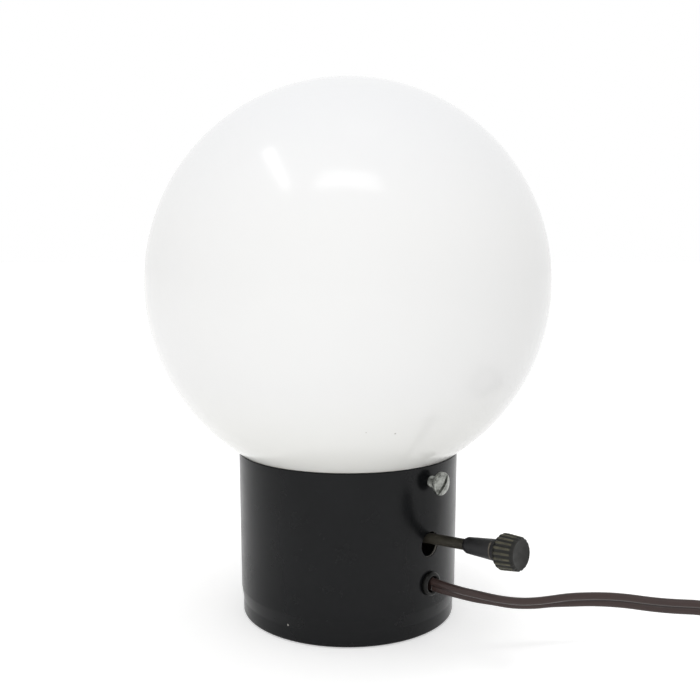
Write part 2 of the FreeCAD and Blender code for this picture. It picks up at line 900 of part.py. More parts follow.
def switch_knob():
    """Tapered knob with round flutes that follow its taper."""
    rear = size.knob_rear_diameter / 2
    front = size.knob_front_diameter / 2
    end = knob_start + size.knob_length
    pit = knob_start + size.knob_socket_depth
    body = new_body("switch_knob")
    sketch = new_sketch(body, "XZ_Plane")
    add_outline(sketch, (knob_start, shaft_radius), [
        line(knob_start, rear - size.knob_rear_round),
        arc(knob_start + size.knob_rear_round, rear, size.knob_rear_round, "right"),
        line(end - size.knob_front_round, front),
        arc(end, front - size.knob_front_round, size.knob_front_round, "right"),
        line(end, 0),
        line(pit, 0),
        line(pit, shaft_radius),
    ])
    revolve(body, sketch, "H_Axis")
    taper = arctangent((rear - front) / size.knob_length)
    over = size.flute_radius - size.flute_depth
    lift = rear + over / cosine(taper) + knob_start * (rear - front) / size.knob_length
    flute = new_sketch(body, "XZ_Plane", turn=-taper, rise=lift)
    back = knob_start - size.flute_radius
    add_outline(flute, (back, 0), [
        line(back, size.flute_radius),
        line(end + size.knob_length / 2, size.flute_radius),
        line(end + size.knob_length / 2, 0),
    ])
    cut = revolve(body, flute, "H_Axis", cut=True)
    polar(body, cut, "X_Axis", size.flute_count)
    tilt_with_shaft(body)
    keep(body)


# Clamp screw

def clamp_screw():
    """Slotted round-head screw through the rim, backed off the neck of the glass."""
    tip = lip_radius + size.screw_lip_gap
    shank = size.screw_diameter / 2
    under = tip + size.screw_length
    head = size.screw_head_diameter / 2
    side = under + size.screw_head_side
    dome = size.screw_head_dome
    curve = (head * head + dome * dome) / (2 * dome)
    chamfer = shank / 4
    body = new_body("clamp_screw")
    sketch = new_sketch(body, "XZ_Plane", rise=screw_height)
    add_outline(sketch, (tip, 0), [
        line(tip, shank - chamfer),
        line(tip + chamfer, shank),
        line(under, shank),
        line(under, head),
        line(side, head),
        arc(side + dome, 0, curve, "right"),
    ])
    revolve(body, sketch, "H_Axis")
    slot = new_sketch(body, "YZ_Plane", side + dome, turn=-size.screw_slot_angle, rise=screw_height)
    half = size.screw_slot_width / 2
    add_outline(slot, (-half, -head), [line(half, -head), line(half, head), line(-half, head)])
    extrude(body, slot, size.screw_slot_depth, cut=True)
    keep(body)


# Globe

def glass_globe():
    """Blown globe of even wall: sphere, neck fillet, waist and a lip turned outwards."""
    wall = size.glass_wall
    curve = size.lip_curve
    land_top = lip_bottom + size.lip_land
    mid_x = lip_radius - lip_offset / 2
    mid_y = land_top + lip_half
    shrink = (curve - wall) / curve
    inner_mid_x = lip_radius - curve + (curve - lip_offset / 2) * shrink
    inner_mid_y = land_top + lip_half * shrink
    drop = globe_middle - fillet_height
    outer_part = globe_radius / globe_reach
    inner_part = (globe_radius - wall) / globe_reach
    body = new_body("glass_globe")
    sketch = new_sketch(body, "XZ_Plane")
    add_outline(sketch, (lip_radius - wall, lip_bottom), [
        line(lip_radius, lip_bottom),
        line(lip_radius, land_top),
        arc(mid_x, mid_y, curve, "left"),
        arc(waist_radius, lip_top, curve, "right"),
        line(waist_radius, fillet_height),
        arc(fillet_reach * outer_part, globe_middle - drop * outer_part, size.neck_fillet, "right"),
        arc(0, globe_middle + globe_radius, globe_radius, "left"),
        line(0, globe_middle + globe_radius - wall),
        arc(fillet_reach * inner_part, globe_middle - drop * inner_part, globe_radius - wall, "right"),
        arc(waist_radius - wall, fillet_height, size.neck_fillet + wall, "left"),
        line(waist_radius - wall, lip_top),
        arc(inner_mid_x, inner_mid_y, curve + wall, "left"),
        arc(lip_radius - wall, land_top, curve - wall, "right"),
    ])
    revolve(body, sketch, "V_Axis")
    keep(body)


# Bulb

def bulb_cap():
    """Tip, black glass insulator and thin metal cup with its collar."""
    tip = size.tip_diameter / 2
    tip_top = bulb_bottom + size.tip_height
    cone_top = tip_top + size.insulator_height
    wide = size.insulator_top_diameter / 2
    body = new_body("bulb_tip")
    sketch = new_sketch(body, "XZ_Plane")
    edge = size.tip_height / 2
    add_outline(sketch, (0, bulb_bottom), [
        line(tip - edge, bulb_bottom),
        arc(tip, bulb_bottom + edge, edge, "left"),
        line(tip, tip_top),
        line(0, tip_top),
    ])
    revolve(body, sketch, "V_Axis")
    keep(body)
    cone = new_body("bulb_insulator")
    sketch = new_sketch(cone, "XZ_Plane")
    add_outline(sketch, (0, tip_top), [line(tip, tip_top), line(wide, cone_top), line(0, cone_top)])
    revolve(cone, sketch, "V_Axis")
    keep(cone)
    outer = size.base_thread_diameter / 2
    inner = outer - size.base_wall
    cup = new_body("bulb_base")
    sketch = new_sketch(cup, "XZ_Plane")
    flare = bulb_neck_radius - outer
    add_outline(sketch, (0, cone_top), [
        line(wide, cone_top),
        line(outer, cone_top + size.base_wall),
        line(outer, collar_bottom),
        line(bulb_neck_radius, collar_bottom + flare),
        line(bulb_neck_radius, collar_top),
        line(inner, collar_top),
        line(inner, cone_top + 2 * size.base_wall),
        line(0, cone_top + 2 * size.base_wall),
    ])
    revolve(cup, sketch, "V_Axis")
    keep(cup)


def bulb_glass():
    """Pear-shaped envelope: straight neck, long shoulder and a round crown."""
    wall = size.bulb_wall
    shoulder = size.bulb_shoulder_radius
    reach = bulb_radius + shoulder
    across = bulb_neck_radius + shoulder
    drop = root(reach * reach - across * across)
    neck_top = bulb_middle - drop
    outer_part = bulb_radius / reach
    inner_part = (bulb_radius - wall) / reach
    body = new_body("bulb_glass")
    sketch = new_sketch(body, "XZ_Plane")
    add_outline(sketch, (bulb_neck_radius - wall, collar_top), [
        line(bulb_neck_radius, collar_top),
        line(bulb_neck_radius, neck_top),
        arc(across * outer_part, bulb_middle - drop * outer_part, shoulder, "right"),
        arc(0, bulb_middle + bulb_radius, bulb_radius, "left"),
        line(0, bulb_middle + bulb_radius - wall),
        arc(across * inner_part, bulb_middle - drop * inner_part, bulb_radius - wall, "right"),
        arc(bulb_neck_radius - wall, neck_top, shoulder + wall, "left"),
    ])
    revolve(body, sketch, "V_Axis")
    keep(body)


def bulb_mount():
    """Glass stem inside the bulb: a flared foot and a rod that carries the filament."""
    rod = size.mount_tube_diameter / 2
    foot = bulb_neck_radius - size.bulb_wall - size.fit_gap
    wall = size.bulb_wall
    curve = foot - rod
    body = new_body("bulb_mount")
    sketch = new_sketch(body, "XZ_Plane")
    add_outline(sketch, (foot - wall, collar_top), [
        line(foot, collar_top),
        line(foot, collar_top + wall),
        arc(rod, collar_top + wall + curve, curve, "right"),
        line(rod, mount_top),
        line(0, mount_top),
        line(0, collar_top + curve),
        line(rod - wall, collar_top + curve),
        arc(foot - wall, collar_top, curve, "left"),
    ])
    revolve(body, sketch, "V_Axis")
    keep(body)


# Cord bushing and the straight end of the cord inside the base

def cord_bushing():
    """Moulded bushing: flange outside, body through the wall and a snap ring inside."""
    bore = size.bush_bore / 2
    outer = size.bush_flange_diameter / 2
    neck = size.bush_body_diameter / 2
    back = size.bush_back_diameter / 2
    inside = wall_at(size.cord_height) - size.shell_wall - size.weld_gap
    sag = back * back / (2 * inside)
    snap = inside - sag
    start = snap - size.bush_back_thickness
    edge = size.bush_flange_thickness / 2
    body = new_body("cord_bushing")
    sketch = new_sketch(body, "XZ_Plane", rise=size.cord_height)
    add_outline(sketch, (start, bore), [
        line(start, neck),
        line(snap, back),
        line(snap, neck),
        line(bush_back, neck),
        line(bush_back, outer),
        line(bush_face - edge, outer),
        arc(bush_face, outer - edge, edge, "right"),
        line(bush_face, bore),
    ])
    revolve(body, sketch, "H_Axis")
    keep(body)


def section_corners():
    """Corners of the flat twin cord as across, up pairs: two lobes and a groove each side."""
    tall = size.cord_width / 2
    thick = size.cord_thickness / 2
    lobe = size.cord_width * 0.3
    waist = thick - size.cord_groove / 2
    zero = Size.of(0)
    return [(zero, tall), (thick, lobe), (waist, zero), (thick, -lobe),
            (zero, -tall), (-thick, -lobe), (-waist, zero), (-thick, lobe)]


def inner_cord():
    """End of the cord that passes through the bushing into the base."""
    body = new_body("inner_cord")
    sketch = new_sketch(body, "YZ_Plane", cord_start, rise=size.cord_height)
    corners = section_corners()
    add_outline(sketch, corners[0], [line(across, up) for across, up in corners[1:]])
    extrude(body, sketch, bush_face - cord_start)
    keep(body)


# Tubes along routes of straight runs and tangent arcs

def arc_leaving(start, heading, end):
    """Circular edge that leaves start along heading and stops at end."""
    chord = end - start
    radius = chord.Length ** 2 / (2 * chord.cross(heading).Length)
    normal = heading.cross(chord).normalize()
    centre = start + normal.cross(heading) * radius
    middle = centre + ((start + end) * 0.5 - centre).normalize() * radius
    return Part.Arc(start, middle, end).toShape()


def rounded_route(label, points):
    """Wire through the runs between points, each corner rounded as far as its runs allow."""
    edges = []
    radii = []
    start = points[0]
    for before, corner, after in zip(points, points[1:], points[2:]):
        reach = 0.45 * min((corner - before).Length, (after - corner).Length)
        inward = (corner - before).normalize()
        outward = (after - corner).normalize()
        turn = inward.getAngle(outward)
        radii.append("%.1f" % (reach / math.tan(turn / 2)))
        first = corner - inward * reach
        edges.append(Part.makeLine(start, first))
        start = corner + outward * reach
        edges.append(arc_leaving(first, inward, start))
    edges.append(Part.makeLine(start, points[-1]))
    print(label, "radii", " ".join(radii))
    return Part.Wire(edges)


def sweep(label, wire, profile):
    """Solid tube along a wire, compared with its section times its length."""
    pipe = Part.BRepOffsetAPI.MakePipeShell(wire)
    pipe.add(profile)
    pipe.build()
    last = pipe.lastShape()
    pipe.makeSolid()
    shape = pipe.shape()
    volume = Part.Face(profile).Area * wire.Length
    print(label, "length %.1f volume ratio %.4f" % (wire.Length, shape.Volume / volume))
    return shape, last


def add_shape(label, shape):
    feature = doc.addObject("Part::Feature", label)
    feature.Label = label
    feature.Shape = shape
    keep(feature)


def round_tube(label, points, radius):
    wire = rounded_route(label, points)
    profile = Part.Wire(Part.makeCircle(radius, points[0], points[1] - points[0]))
    return sweep(label, wire, profile)[0]


def lead_wires():
    """Two insulated leads from the end of the cord round the socket to the terminal ears."""
    radius = size.lead_diameter.value / 2
    start = cord_start.value
    ear = ear_outside.value
    ear_middle = flat_depth.value + size.terminal_ear_reach.value / 2 + 0.1
    ear_height = plate_bottom.value + size.terminal_ear_height.value / 2
    apart = radius + 0.25
    leads = []
    for side, name in ((1, "left"), (-1, "right")):
        low = size.cord_height.value + side * apart
        leads.append(round_tube("lead_" + name, [
            Vector(start, 0, low),
            Vector(start - 9, 0, low),
            Vector(start - 15, side * 9.5, (low + ear_height) / 2 - 0.5),
            Vector(ear + 8.2, side * ear_middle, ear_height),
            Vector(ear, side * ear_middle, ear_height),
        ], radius))
    add_shape("lead_wires", Part.Compound(leads))


def filament():
    """Two support wires up from the mount and the filament strung between them."""
    top = mount_top.value
    foot = size.mount_tube_diameter.value / 2 - 2 * size.filament_wire.value
    half = size.filament_span.value / 2
    side = [Vector(foot, 0, top), Vector(foot, 0, top + 2.5), Vector(half, 0, top + 9.5),
            Vector(half - 4, 0, top + 13), Vector(1.5, 0, top + 14)]
    points = [Vector(-p.x, 0, p.z) for p in side] + side[::-1]
    add_shape("filament", round_tube("filament", points, size.filament_wire.value / 2))


# Free cord: a stretch over the table, a two-layer coil of the spare length and a tail to the plug

CORD_ROUTE = [
    (53.5, 0.0, 19.5),
    (63.5, 5.0, 18.3),
    (71.0, 16.5, 15.0),
    (80.5, 30.0, 15.8),
    (91.5, 43.5, 15.2),
    (105.5, 52.5, 14.0),
    (121.0, 60.5, 15.5),
    (134.5, 65.0, 9.2),
    (146.5, 69.5, 4.1),
]
COIL_START = (166.0, 83.5)
COIL_HEADING = 45.0
TAIL_TURNS = (0.0, 15.0, 30.0, 40.0)
TAIL_RUNS = (8.0, 10.0, 10.0, 10.0)


def heading(degrees):
    return Vector(math.cos(math.radians(degrees)), math.sin(math.radians(degrees)), 0)


def cord_profile(at, along):
    up = Vector(0, 0, 1)
    across = along.cross(up).normalize()
    points = [at + across * u.value + up * v.value for u, v in section_corners()]
    return Part.makePolygon(points + points[:1])


def coil_wire(start, direction, ends):
    """Spiral in on the lower layer, climb in the half turn of least radius, spiral out above."""
    pitch = size.coil_pitch.value
    rise = size.coil_layer_rise.value
    radius = size.coil_outer_radius.value
    across = heading(direction - 90)
    along = heading(direction)
    begin = start + along * ends
    centre = begin - across * radius
    edges = [Part.makeLine(start, begin)]
    side = 1

    def spot(angle):
        turn = math.radians(angle)
        return centre + across * (side * radius * math.cos(turn)) + along * (side * radius * math.sin(turn))

    for _ in range(int(size.coil_half_turns_in.value)):
        edges.append(Part.Arc(spot(0), spot(90), spot(180)).toShape())
        side = -side
        centre = centre + across * (side * pitch / 2)
        radius -= pitch / 2
    low = spot(0)
    far = math.sqrt(radius ** 2 + rise ** 2 / 4)
    middle = centre + along * (side * far) + Vector(0, 0, rise / 2)
    high = spot(180) + Vector(0, 0, rise)
    edges.append(arc_leaving(low, along * side, middle))
    edges.append(arc_leaving(high, along * side, middle))
    centre = centre + Vector(0, 0, rise)
    side = -side
    for _ in range(int(size.coil_half_turns_out.value)):
        centre = centre - across * (side * pitch / 2)
        radius += pitch / 2
        edges.append(Part.Arc(spot(0), spot(90), spot(180)).toShape())
        side = -side
    centre = centre - across * (side * pitch / 2)
    radius += pitch / 2
    edges.append(Part.Arc(spot(0), spot(45), spot(90)).toShape())
    leaving = across * -side
    edges.append(Part.makeLine(spot(90), spot(90) + leaving * ends))
    return Part.Wire(Part.__sortEdges__(edges)), spot(90) + leaving * ends, leaving


def tips_direction(section):
    """Direction between the two outermost corners of the flat cord's section."""
    spots = [vertex.Point for vertex in section.Vertexes]
    low, high = max(((a, b) for a in spots for b in spots if a.z <= b.z),
                    key=lambda pair: pair[0].distanceToPoint(pair[1]))
    return (high - low).normalize()


def least_gap(wire, profile, up, step=0.5, apart=12.0):
    """Least distance between corner points of the tube that belong to different loops."""
    stations = wire.discretize(Distance=step)
    cells = {}
    reach = 1.2
    found = reach
    for number, at in enumerate(stations[:-1]):
        along = (stations[number + 1] - at).normalize()
        up = (up - along * up.dot(along)).normalize()
        across = along.cross(up)
        for u, v in profile:
            point = at + across * u + up * v
            key = (int(point.x // reach), int(point.y // reach), int(point.z // reach))
            for cell in neighbours(key):
                for other, place in cells.get(cell, ()):
                    if (number - other) * step > apart:
                        found = min(found, point.distanceToPoint(place))
            cells.setdefault(key, []).append((number, point))
    return found


def neighbours(key):
    steps = (-1, 0, 1)
    return [(key[0] + i, key[1] + j, key[2] + k) for i in steps for j in steps for k in steps]


def cord_and_plug():
    width = size.cord_width.value
    floor_height = width / 2 + size.coil_floor_gap.value
    exit_point = Vector(bush_face.value, 0, size.cord_height.value)
    coil_start = Vector(COIL_START[0], COIL_START[1], floor_height)
    last_run = heading(COIL_HEADING) * 11.6
    route = [exit_point] + [Vector(*point) for point in CORD_ROUTE] + [coil_start - last_run, coil_start]
    run = rounded_route("cord_run", route)
    shape, section = sweep("cord_run", run, cord_profile(exit_point, Vector(1, 0, 0)))
    add_shape("cord_run", shape)
    coil, coil_end, leaving = coil_wire(coil_start, COIL_HEADING, width)
    upright = tips_direction(section)
    shape, section = sweep("cord_coil", coil, as_wire(section))
    add_shape("cord_coil", shape)
    corners = [(u.value, v.value) for u, v in section_corners()]
    print("coil least gap to itself %.2f" % least_gap(coil, corners, upright))
    for place, direction in (("starts", upright), ("ends", tips_direction(section))):
        print("coil section %s leaning %.1f" % (place, math.degrees(direction.getAngle(Vector(0, 0, 1)))))
    heading_out = math.degrees(math.atan2(leaving.y, leaving.x))
    plug_height = size.plug_thickness.value / 2
    heights = (coil_end.z, (2 * coil_end.z + plug_height) / 3, plug_height, plug_height)
    tail = [coil_end]
    for turn, length, height in zip(TAIL_TURNS, TAIL_RUNS, heights):
        step = heading(heading_out + turn) * length
        tail.append(Vector(tail[-1].x + step.x, tail[-1].y + step.y, height))
    wire = rounded_route("cord_tail", tail)
    shape, section = sweep("cord_tail", wire, as_wire(section))
    add_shape("cord_tail", shape)
    whole = run.Length + coil.Length + wire.Length + bush_face.value - cord_start.value
    print("cord length %.0f" % whole)
    plug(tail[-1], heading_out + TAIL_TURNS[-1])


def as_wire(section):
    return section if section.ShapeType == "Wire" else Part.Wire(Part.__sortEdges__(section.Edges))


def plug(at, direction):
    """Two-blade plug lying on its flat side at the end of the tail."""
    place = Placement(at, Rotation(Vector(0, 0, 1), direction))
    length = size.plug_length
    half = size.plug_width / 2
    tail = size.plug_tail_width / 2
    face = size.plug_face_width / 2
    rim = length - (face - half) * 3
    shoulder = length / 2
    body = new_body("plug_body")
    plan = new_sketch(body, "XY_Plane")
    add_outline(plan, (0, -tail), [
        line(length / 5, -tail),
        line(shoulder, -half),
        line(rim, -half),
        line(rim, -face),
        line(length, -face),
        line(length, face),
        line(rim, face),
        line(rim, half),
        line(shoulder, half),
        line(length / 5, tail),
        line(0, tail),
    ])
    extrude(body, plan, size.plug_thickness, both_ways=True)
    high = size.plug_thickness / 2
    low = size.plug_tail_thickness / 2
    for side in (1, -1):
        wedge = new_sketch(body, "XZ_Plane")
        add_outline(wedge, (0, side * low), [
            line(length / 5, side * low),
            line(shoulder, side * high),
            line(shoulder, side * (high + low)),
            line(0, side * (high + low)),
        ])
        extrude(body, wedge, 2 * size.plug_face_width, both_ways=True, cut=True)
    body.Placement = place
    keep(body)
    blades = []
    tip = length + size.blade_length
    slim = size.blade_width / 2
    corner = size.blade_width / 4
    for side, name in ((1, "left"), (-1, "right")):
        blade = new_body("plug_blade_" + name)
        sketch = new_sketch(blade, "XZ_Plane", side * size.blade_spacing / 2)
        add_outline(sketch, (length, -slim), [
            line(tip - corner, -slim),
            line(tip, corner - slim),
            line(tip, slim - corner),
            line(tip - corner, slim),
            line(length, slim),
        ])
        add_circle(sketch, tip - size.blade_width * 0.6, 0, size.blade_width / 4)
        extrude(blade, sketch, size.blade_thickness, both_ways=True)
        blade.Placement = place
        blades.append(blade)
    group("plug_blades", blades)


def check_and_export():
    """Recompute, look for failed objects and invalid shapes, and write one file per part."""
    doc.recompute()
    failed = [o.Name for o in doc.Objects if {"Invalid", "Error"} & set(o.State)]
    for part in parts:
        if part.Shape.isNull() or not part.Shape.isValid() or not part.Shape.Solids:
            failed.append(part.Label)
    if failed:
        raise RuntimeError("not built: " + ", ".join(failed))
    os.makedirs("parts", exist_ok=True)
    for part in parts:
        part.Shape.exportStep("parts/" + part.Label + ".step")
        box = part.Shape.BoundBox
        print("%-18s solids %d volume %.1f z %.2f to %.2f" % (
            part.Label, len(part.Shape.Solids), part.Shape.Volume, box.ZMin, box.ZMax))


nipple_bottom = strap_under - size.nut_thickness - size.nipple_below_nut
nipple_length = socket_foot + size.nipple_in_socket - nipple_bottom

base_shell()
felt_pad()
globe_seat()
socket_strap()
strap_rivets()
ring("threaded_nipple", size.nipple_bore / 2, size.nipple_diameter / 2, nipple_bottom, nipple_length)
strap_nut()
ring("socket_washer", size.nipple_diameter / 2 + size.fit_gap, size.washer_diameter / 2,
     strap_top, size.washer_thickness)
socket_body()
screw_shell()
centre_contact()
terminals()
switch_rotor()
switch_shaft_parts()
switch_knob()
clamp_screw()
glass_globe()
bulb_cap()
bulb_glass()
bulb_mount()
cord_bushing()
inner_cord()
lead_wires()
filament()
cord_and_plug()
check_and_export()
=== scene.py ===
"""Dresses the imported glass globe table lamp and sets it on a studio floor.

The file is laid out as an add-on. The sizes and colours are properties, each
piece or group of like pieces has its operator, and main calls them in order.
Objects are in metres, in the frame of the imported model. The outlines of turned
and stretched pieces are written in millimetres.
"""

import json
from math import acos, atan2, cos, degrees, hypot, pi, radians, sin, sqrt, tan

import bmesh
import bpy
from mathutils import Matrix, Vector

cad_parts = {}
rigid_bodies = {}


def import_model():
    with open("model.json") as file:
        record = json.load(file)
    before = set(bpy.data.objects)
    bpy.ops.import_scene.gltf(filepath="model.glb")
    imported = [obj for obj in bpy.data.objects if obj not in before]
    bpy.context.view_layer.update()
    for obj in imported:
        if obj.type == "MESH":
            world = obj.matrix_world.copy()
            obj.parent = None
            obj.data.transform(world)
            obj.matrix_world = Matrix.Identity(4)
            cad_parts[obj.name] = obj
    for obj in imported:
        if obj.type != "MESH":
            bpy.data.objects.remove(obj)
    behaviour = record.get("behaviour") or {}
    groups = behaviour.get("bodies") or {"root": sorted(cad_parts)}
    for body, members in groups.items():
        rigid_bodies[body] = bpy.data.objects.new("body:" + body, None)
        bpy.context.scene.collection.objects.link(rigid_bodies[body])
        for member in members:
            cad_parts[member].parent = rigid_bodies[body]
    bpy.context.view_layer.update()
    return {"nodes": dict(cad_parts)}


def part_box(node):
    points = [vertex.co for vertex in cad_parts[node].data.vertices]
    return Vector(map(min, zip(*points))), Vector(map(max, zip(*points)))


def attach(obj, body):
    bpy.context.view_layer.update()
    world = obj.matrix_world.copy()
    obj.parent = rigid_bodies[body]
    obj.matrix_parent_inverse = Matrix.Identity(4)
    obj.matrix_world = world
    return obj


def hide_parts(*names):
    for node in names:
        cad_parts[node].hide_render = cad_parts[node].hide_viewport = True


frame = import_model()

bl_info = {
    "name": "Glass Globe Table Lamp",
    "version": (1, 0, 0),
    "blender": (4, 5, 0),
    "location": "View3D > Sidebar > Lamp",
    "description": "Adds the pieces, finishes and stage of a glass globe table lamp",
    "category": "Object",
}

MM = 0.001
POINT = 0.001 * MM  # the smallest ring, which can still be resized to a larger one
UPWARDS = Vector((0, 0, 1))
GLOBE_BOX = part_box("glass_globe")
SHELL_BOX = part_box("base_shell")
GLOBE_RADIUS = GLOBE_BOX[1].x
GLOBE_MIDDLE = GLOBE_BOX[1].z - GLOBE_RADIUS
RIM_RADIUS = SHELL_BOX[1].x
RIM_HEIGHT = SHELL_BOX[1].z

# Places on the right side of the base, the side of the switch

SCREW_HEIGHT = 57.35 * MM
SCREW_HOLE_RADIUS = 2.13 * MM
SWITCH_HOLE_HEIGHT = 34.15 * MM
SWITCH_HOLE_RADIUS = 4.6 * MM
CORD_HEIGHT = 19.5 * MM
CORD_HOLE_RADIUS = 3.95 * MM
SHAFT_MIDDLE = Vector((0, 0, 32.608 * MM))
SHAFT_RISE = radians(5)
KNOB_START = 70.6 * MM
KNOB_HUB_RADIUS = 3.7 * MM
KNOB_TAPER = 0.067

# Heights of the base's foot band and of its skirt, in millimetres as in its outline

BAND_TOP = 5.6
SKIRT_BOTTOM = 10.4

# Turns that lay a piece made along Z on its side, or on the shaft's rising axis

ALONG_X = (0, radians(90), 0)
ALONG_SHAFT = (0, radians(90) - SHAFT_RISE, 0)

# The cord's route, as in the part's source

CORD_EXIT = (0.04357, 0.0, 0.0195)
CORD_ROUTE = [
    (0.0535, 0.0, 0.0195), (0.0635, 0.005, 0.0183), (0.071, 0.0165, 0.015),
    (0.0805, 0.030, 0.0158), (0.0915, 0.0435, 0.0152), (0.1055, 0.0525, 0.014),
    (0.121, 0.0605, 0.0155), (0.1345, 0.065, 0.0092), (0.1465, 0.0695, 0.0041),
    (0.1578, 0.0753, 0.0029), (0.166, 0.0835, 0.0029),
]
COIL_MIDDLE = Vector((0.143655, 0.113481, 0.0029))
COIL_ACROSS = Vector((sqrt(0.5), -sqrt(0.5), 0))
COIL_ALONG = Vector((sqrt(0.5), sqrt(0.5), 0))
CORD_TAIL = [
    (0.166, 0.143463, 0.0088), (0.160343, 0.14912, 0.0088), (0.151683, 0.15412, 0.007867),
    (0.142024, 0.156708, 0.006), (0.132062, 0.15758, 0.006),
]
PLUG_PLACE = Vector((0.132062, 0.15758, 0.006))
PLUG_HEADING = radians(175)

# How far the cord's top leans towards the front, in degrees, at places along it in millimetres

CORD_LEAN = [
    (0, 20), (15, 31), (25, 45), (33, 41), (43, 36), (55, 13), (70, 6), (90, 4), (130, 4), (175, 0),
]

# Marks given one by one, with their radii: three specks in the glass and a chip in the enamel

GLASS_SPECKS = [
    ((0.04677, -0.03866, 0.08142), 0.35 * MM), ((0.05183, -0.03037, 0.08063), 0.45 * MM),
    ((0.03871, -0.0203, 0.0651), 0.4 * MM),
]
ENAMEL_CHIP = ((0.00963, -0.04011, 0.00617), 0.4 * MM)

# Plain finishes: slot, dark and light colour, scale of the clouds, least and most roughness,
# scale and depth of the grain, share of hairlines, and the shader's constants

PLAIN_FINISHES = [
    ("plain_steel", (0.20, 0.19, 0.18), (0.34, 0.33, 0.31), 130.0, (0.34, 0.5), 900.0, 0.015 * MM, 0.3,
     {"Metallic": 0.9}),
    ("brass", (0.38, 0.25, 0.09), (0.56, 0.40, 0.17), 150.0, (0.28, 0.45), 1100.0, 0.012 * MM, 0.3,
     {"Metallic": 1.0}),
    ("phenolic", (0.012, 0.010, 0.009), (0.026, 0.020, 0.016), 120.0, (0.24, 0.36), 800.0, 0.012 * MM, 0,
     {"Specular IOR Level": 0.4}),
    ("bulb_metal", (0.52, 0.51, 0.49), (0.70, 0.69, 0.66), 160.0, (0.22, 0.36), 1200.0, 0.01 * MM, 0.3,
     {"Metallic": 1.0}),
    ("solder", (0.30, 0.30, 0.31), (0.46, 0.46, 0.47), 600.0, (0.35, 0.5), 1800.0, 0.03 * MM, 0,
     {"Metallic": 0.9}),
    ("black_glass", (0.006, 0.006, 0.008), (0.014, 0.013, 0.016), 200.0, (0.05, 0.10), 700.0, 0.005 * MM, 0,
     {"Specular IOR Level": 0.5}),
    ("tungsten", (0.16, 0.16, 0.17), (0.26, 0.26, 0.27), 900.0, (0.4, 0.55), 3000.0, 0.01 * MM, 0,
     {"Metallic": 1.0}),
    ("black_bushing", (0.003, 0.003, 0.003), (0.008, 0.008, 0.007), 300.0, (0.26, 0.38), 1100.0, 0.012 * MM,
     0, {"Specular IOR Level": 0.18}),
    ("lead_insulation", (0.012, 0.012, 0.013), (0.030, 0.028, 0.026), 300.0, (0.5, 0.65), 1500.0, 0.02 * MM,
     0, {"Specular IOR Level": 0.4}),
    ("bulb_glass", (0.93, 0.94, 0.94), (0.98, 0.98, 0.97), 30.0, (0.02, 0.05), 200.0, 0.004 * MM, 0,
     {"Transmission Weight": 1.0, "IOR": 1.5}),
    ("clear_glass", (0.90, 0.93, 0.92), (0.97, 0.98, 0.98), 60.0, (0.02, 0.05), 300.0, 0.004 * MM, 0,
     {"Transmission Weight": 1.0, "IOR": 1.5}),
]
FINISH_NAMES = {}


def length_property(name, description, default):
    return bpy.props.FloatProperty(name=name, description=description, default=default, unit="LENGTH")


def colour_property(name, description, default):
    return bpy.props.FloatVectorProperty(
        name=name, description=description, default=default, size=3, min=0, max=1, subtype="COLOR")


class LampSizes(bpy.types.PropertyGroup):
    """Sizes that a user may change."""

    globe_radius: length_property("Globe radius", "Outer radius of the blown globe", GLOBE_RADIUS)
    glass_wall: length_property("Glass wall", "Thickness of the opal glass", 2.6 * MM)
    waist_radius: length_property("Waist radius", "Radius of the globe's neck above its lip", 36.8 * MM)
    lip_radius: length_property("Lip radius", "Outer radius of the lip that the screw holds", 39.7 * MM)
    lip_curve: length_property("Lip curve", "Radius of both bends of the lip", 3.4 * MM)
    rim_radius: length_property("Rim radius", "Outer radius of the base at its rim", RIM_RADIUS)
    rim_height: length_property("Rim height", "Height of the base's rim above the table", RIM_HEIGHT)
    shell_wall: length_property("Sheet thickness", "Thickness of the drawn steel of the base", 0.9 * MM)
    shaft_radius: length_property("Shaft radius", "Radius of the switch's shaft", 1.95 * MM)
    hub_length: length_property("Hub length", "Length of the plain hub behind the knob's flutes", 2.3 * MM)
    knob_rear: length_property("Knob rear radius", "Radius of the knob at its wide end", 6.4 * MM)
    knob_front: length_property("Knob front radius", "Radius of the knob at its face", 5.7 * MM)
    knob_length: length_property("Knob length", "Length of the knob along the shaft", 10.4 * MM)
    flutes: bpy.props.IntProperty(
        name="Flutes", description="Number of flutes round the knob", default=20, min=6)
    cord_width: length_property("Cord width", "Width of the flat twin cord", 5.4 * MM)
    cord_thickness: length_property("Cord thickness", "Thickness of the flat twin cord", 2.7 * MM)
    cord_groove: length_property("Cord groove", "Depth of both grooves of the cord together", 1.15 * MM)
    bulb_radius: length_property("Bulb radius", "Radius of the bulb's round crown", 30 * MM)


class LampColours(bpy.types.PropertyGroup):
    """Colours that a user may change."""

    opal: colour_property("Opal glass", "White of the globe", (0.90, 0.90, 0.893))
    # The neck colour is lighter than the opal: painted light that brightens the shaded lower globe; it is
    # also a little yellower
    opal_neck_lightened: colour_property(
        "Opal at the neck", "Tint of the thinner glass near the rim", (0.93, 0.93, 0.895))
    enamel: colour_property("Black enamel", "Paint of the base", (0.0052, 0.0056, 0.0062))
    rust: colour_property("Rust", "Brown of the bare steel inside the rim", (0.10, 0.042, 0.018))
    steel: colour_property("Bright steel", "Clamp screw", (0.36, 0.37, 0.345))
    bronze: colour_property("Bronzed shaft", "Brown patina of the shaft", (0.034, 0.031, 0.024))
    collar: colour_property("Black collar", "Collar behind the knob", (0.012, 0.012, 0.013))
    knob: colour_property("Knob", "Dark brown of the knob", (0.017, 0.017, 0.015))
    knob_crest: colour_property("Knob ribs", "Olive tan on the worn ribs", (0.100, 0.094, 0.064))
    cord: colour_property("Cord", "Dark brown rubber of the cord", (0.036, 0.0215, 0.019))


# Modelling helpers

def box_in_mm(node):
    """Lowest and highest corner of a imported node, in millimetres for an outline."""
    return [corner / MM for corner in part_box(node)]


def deselect():
    bpy.ops.object.select_all(action="DESELECT")


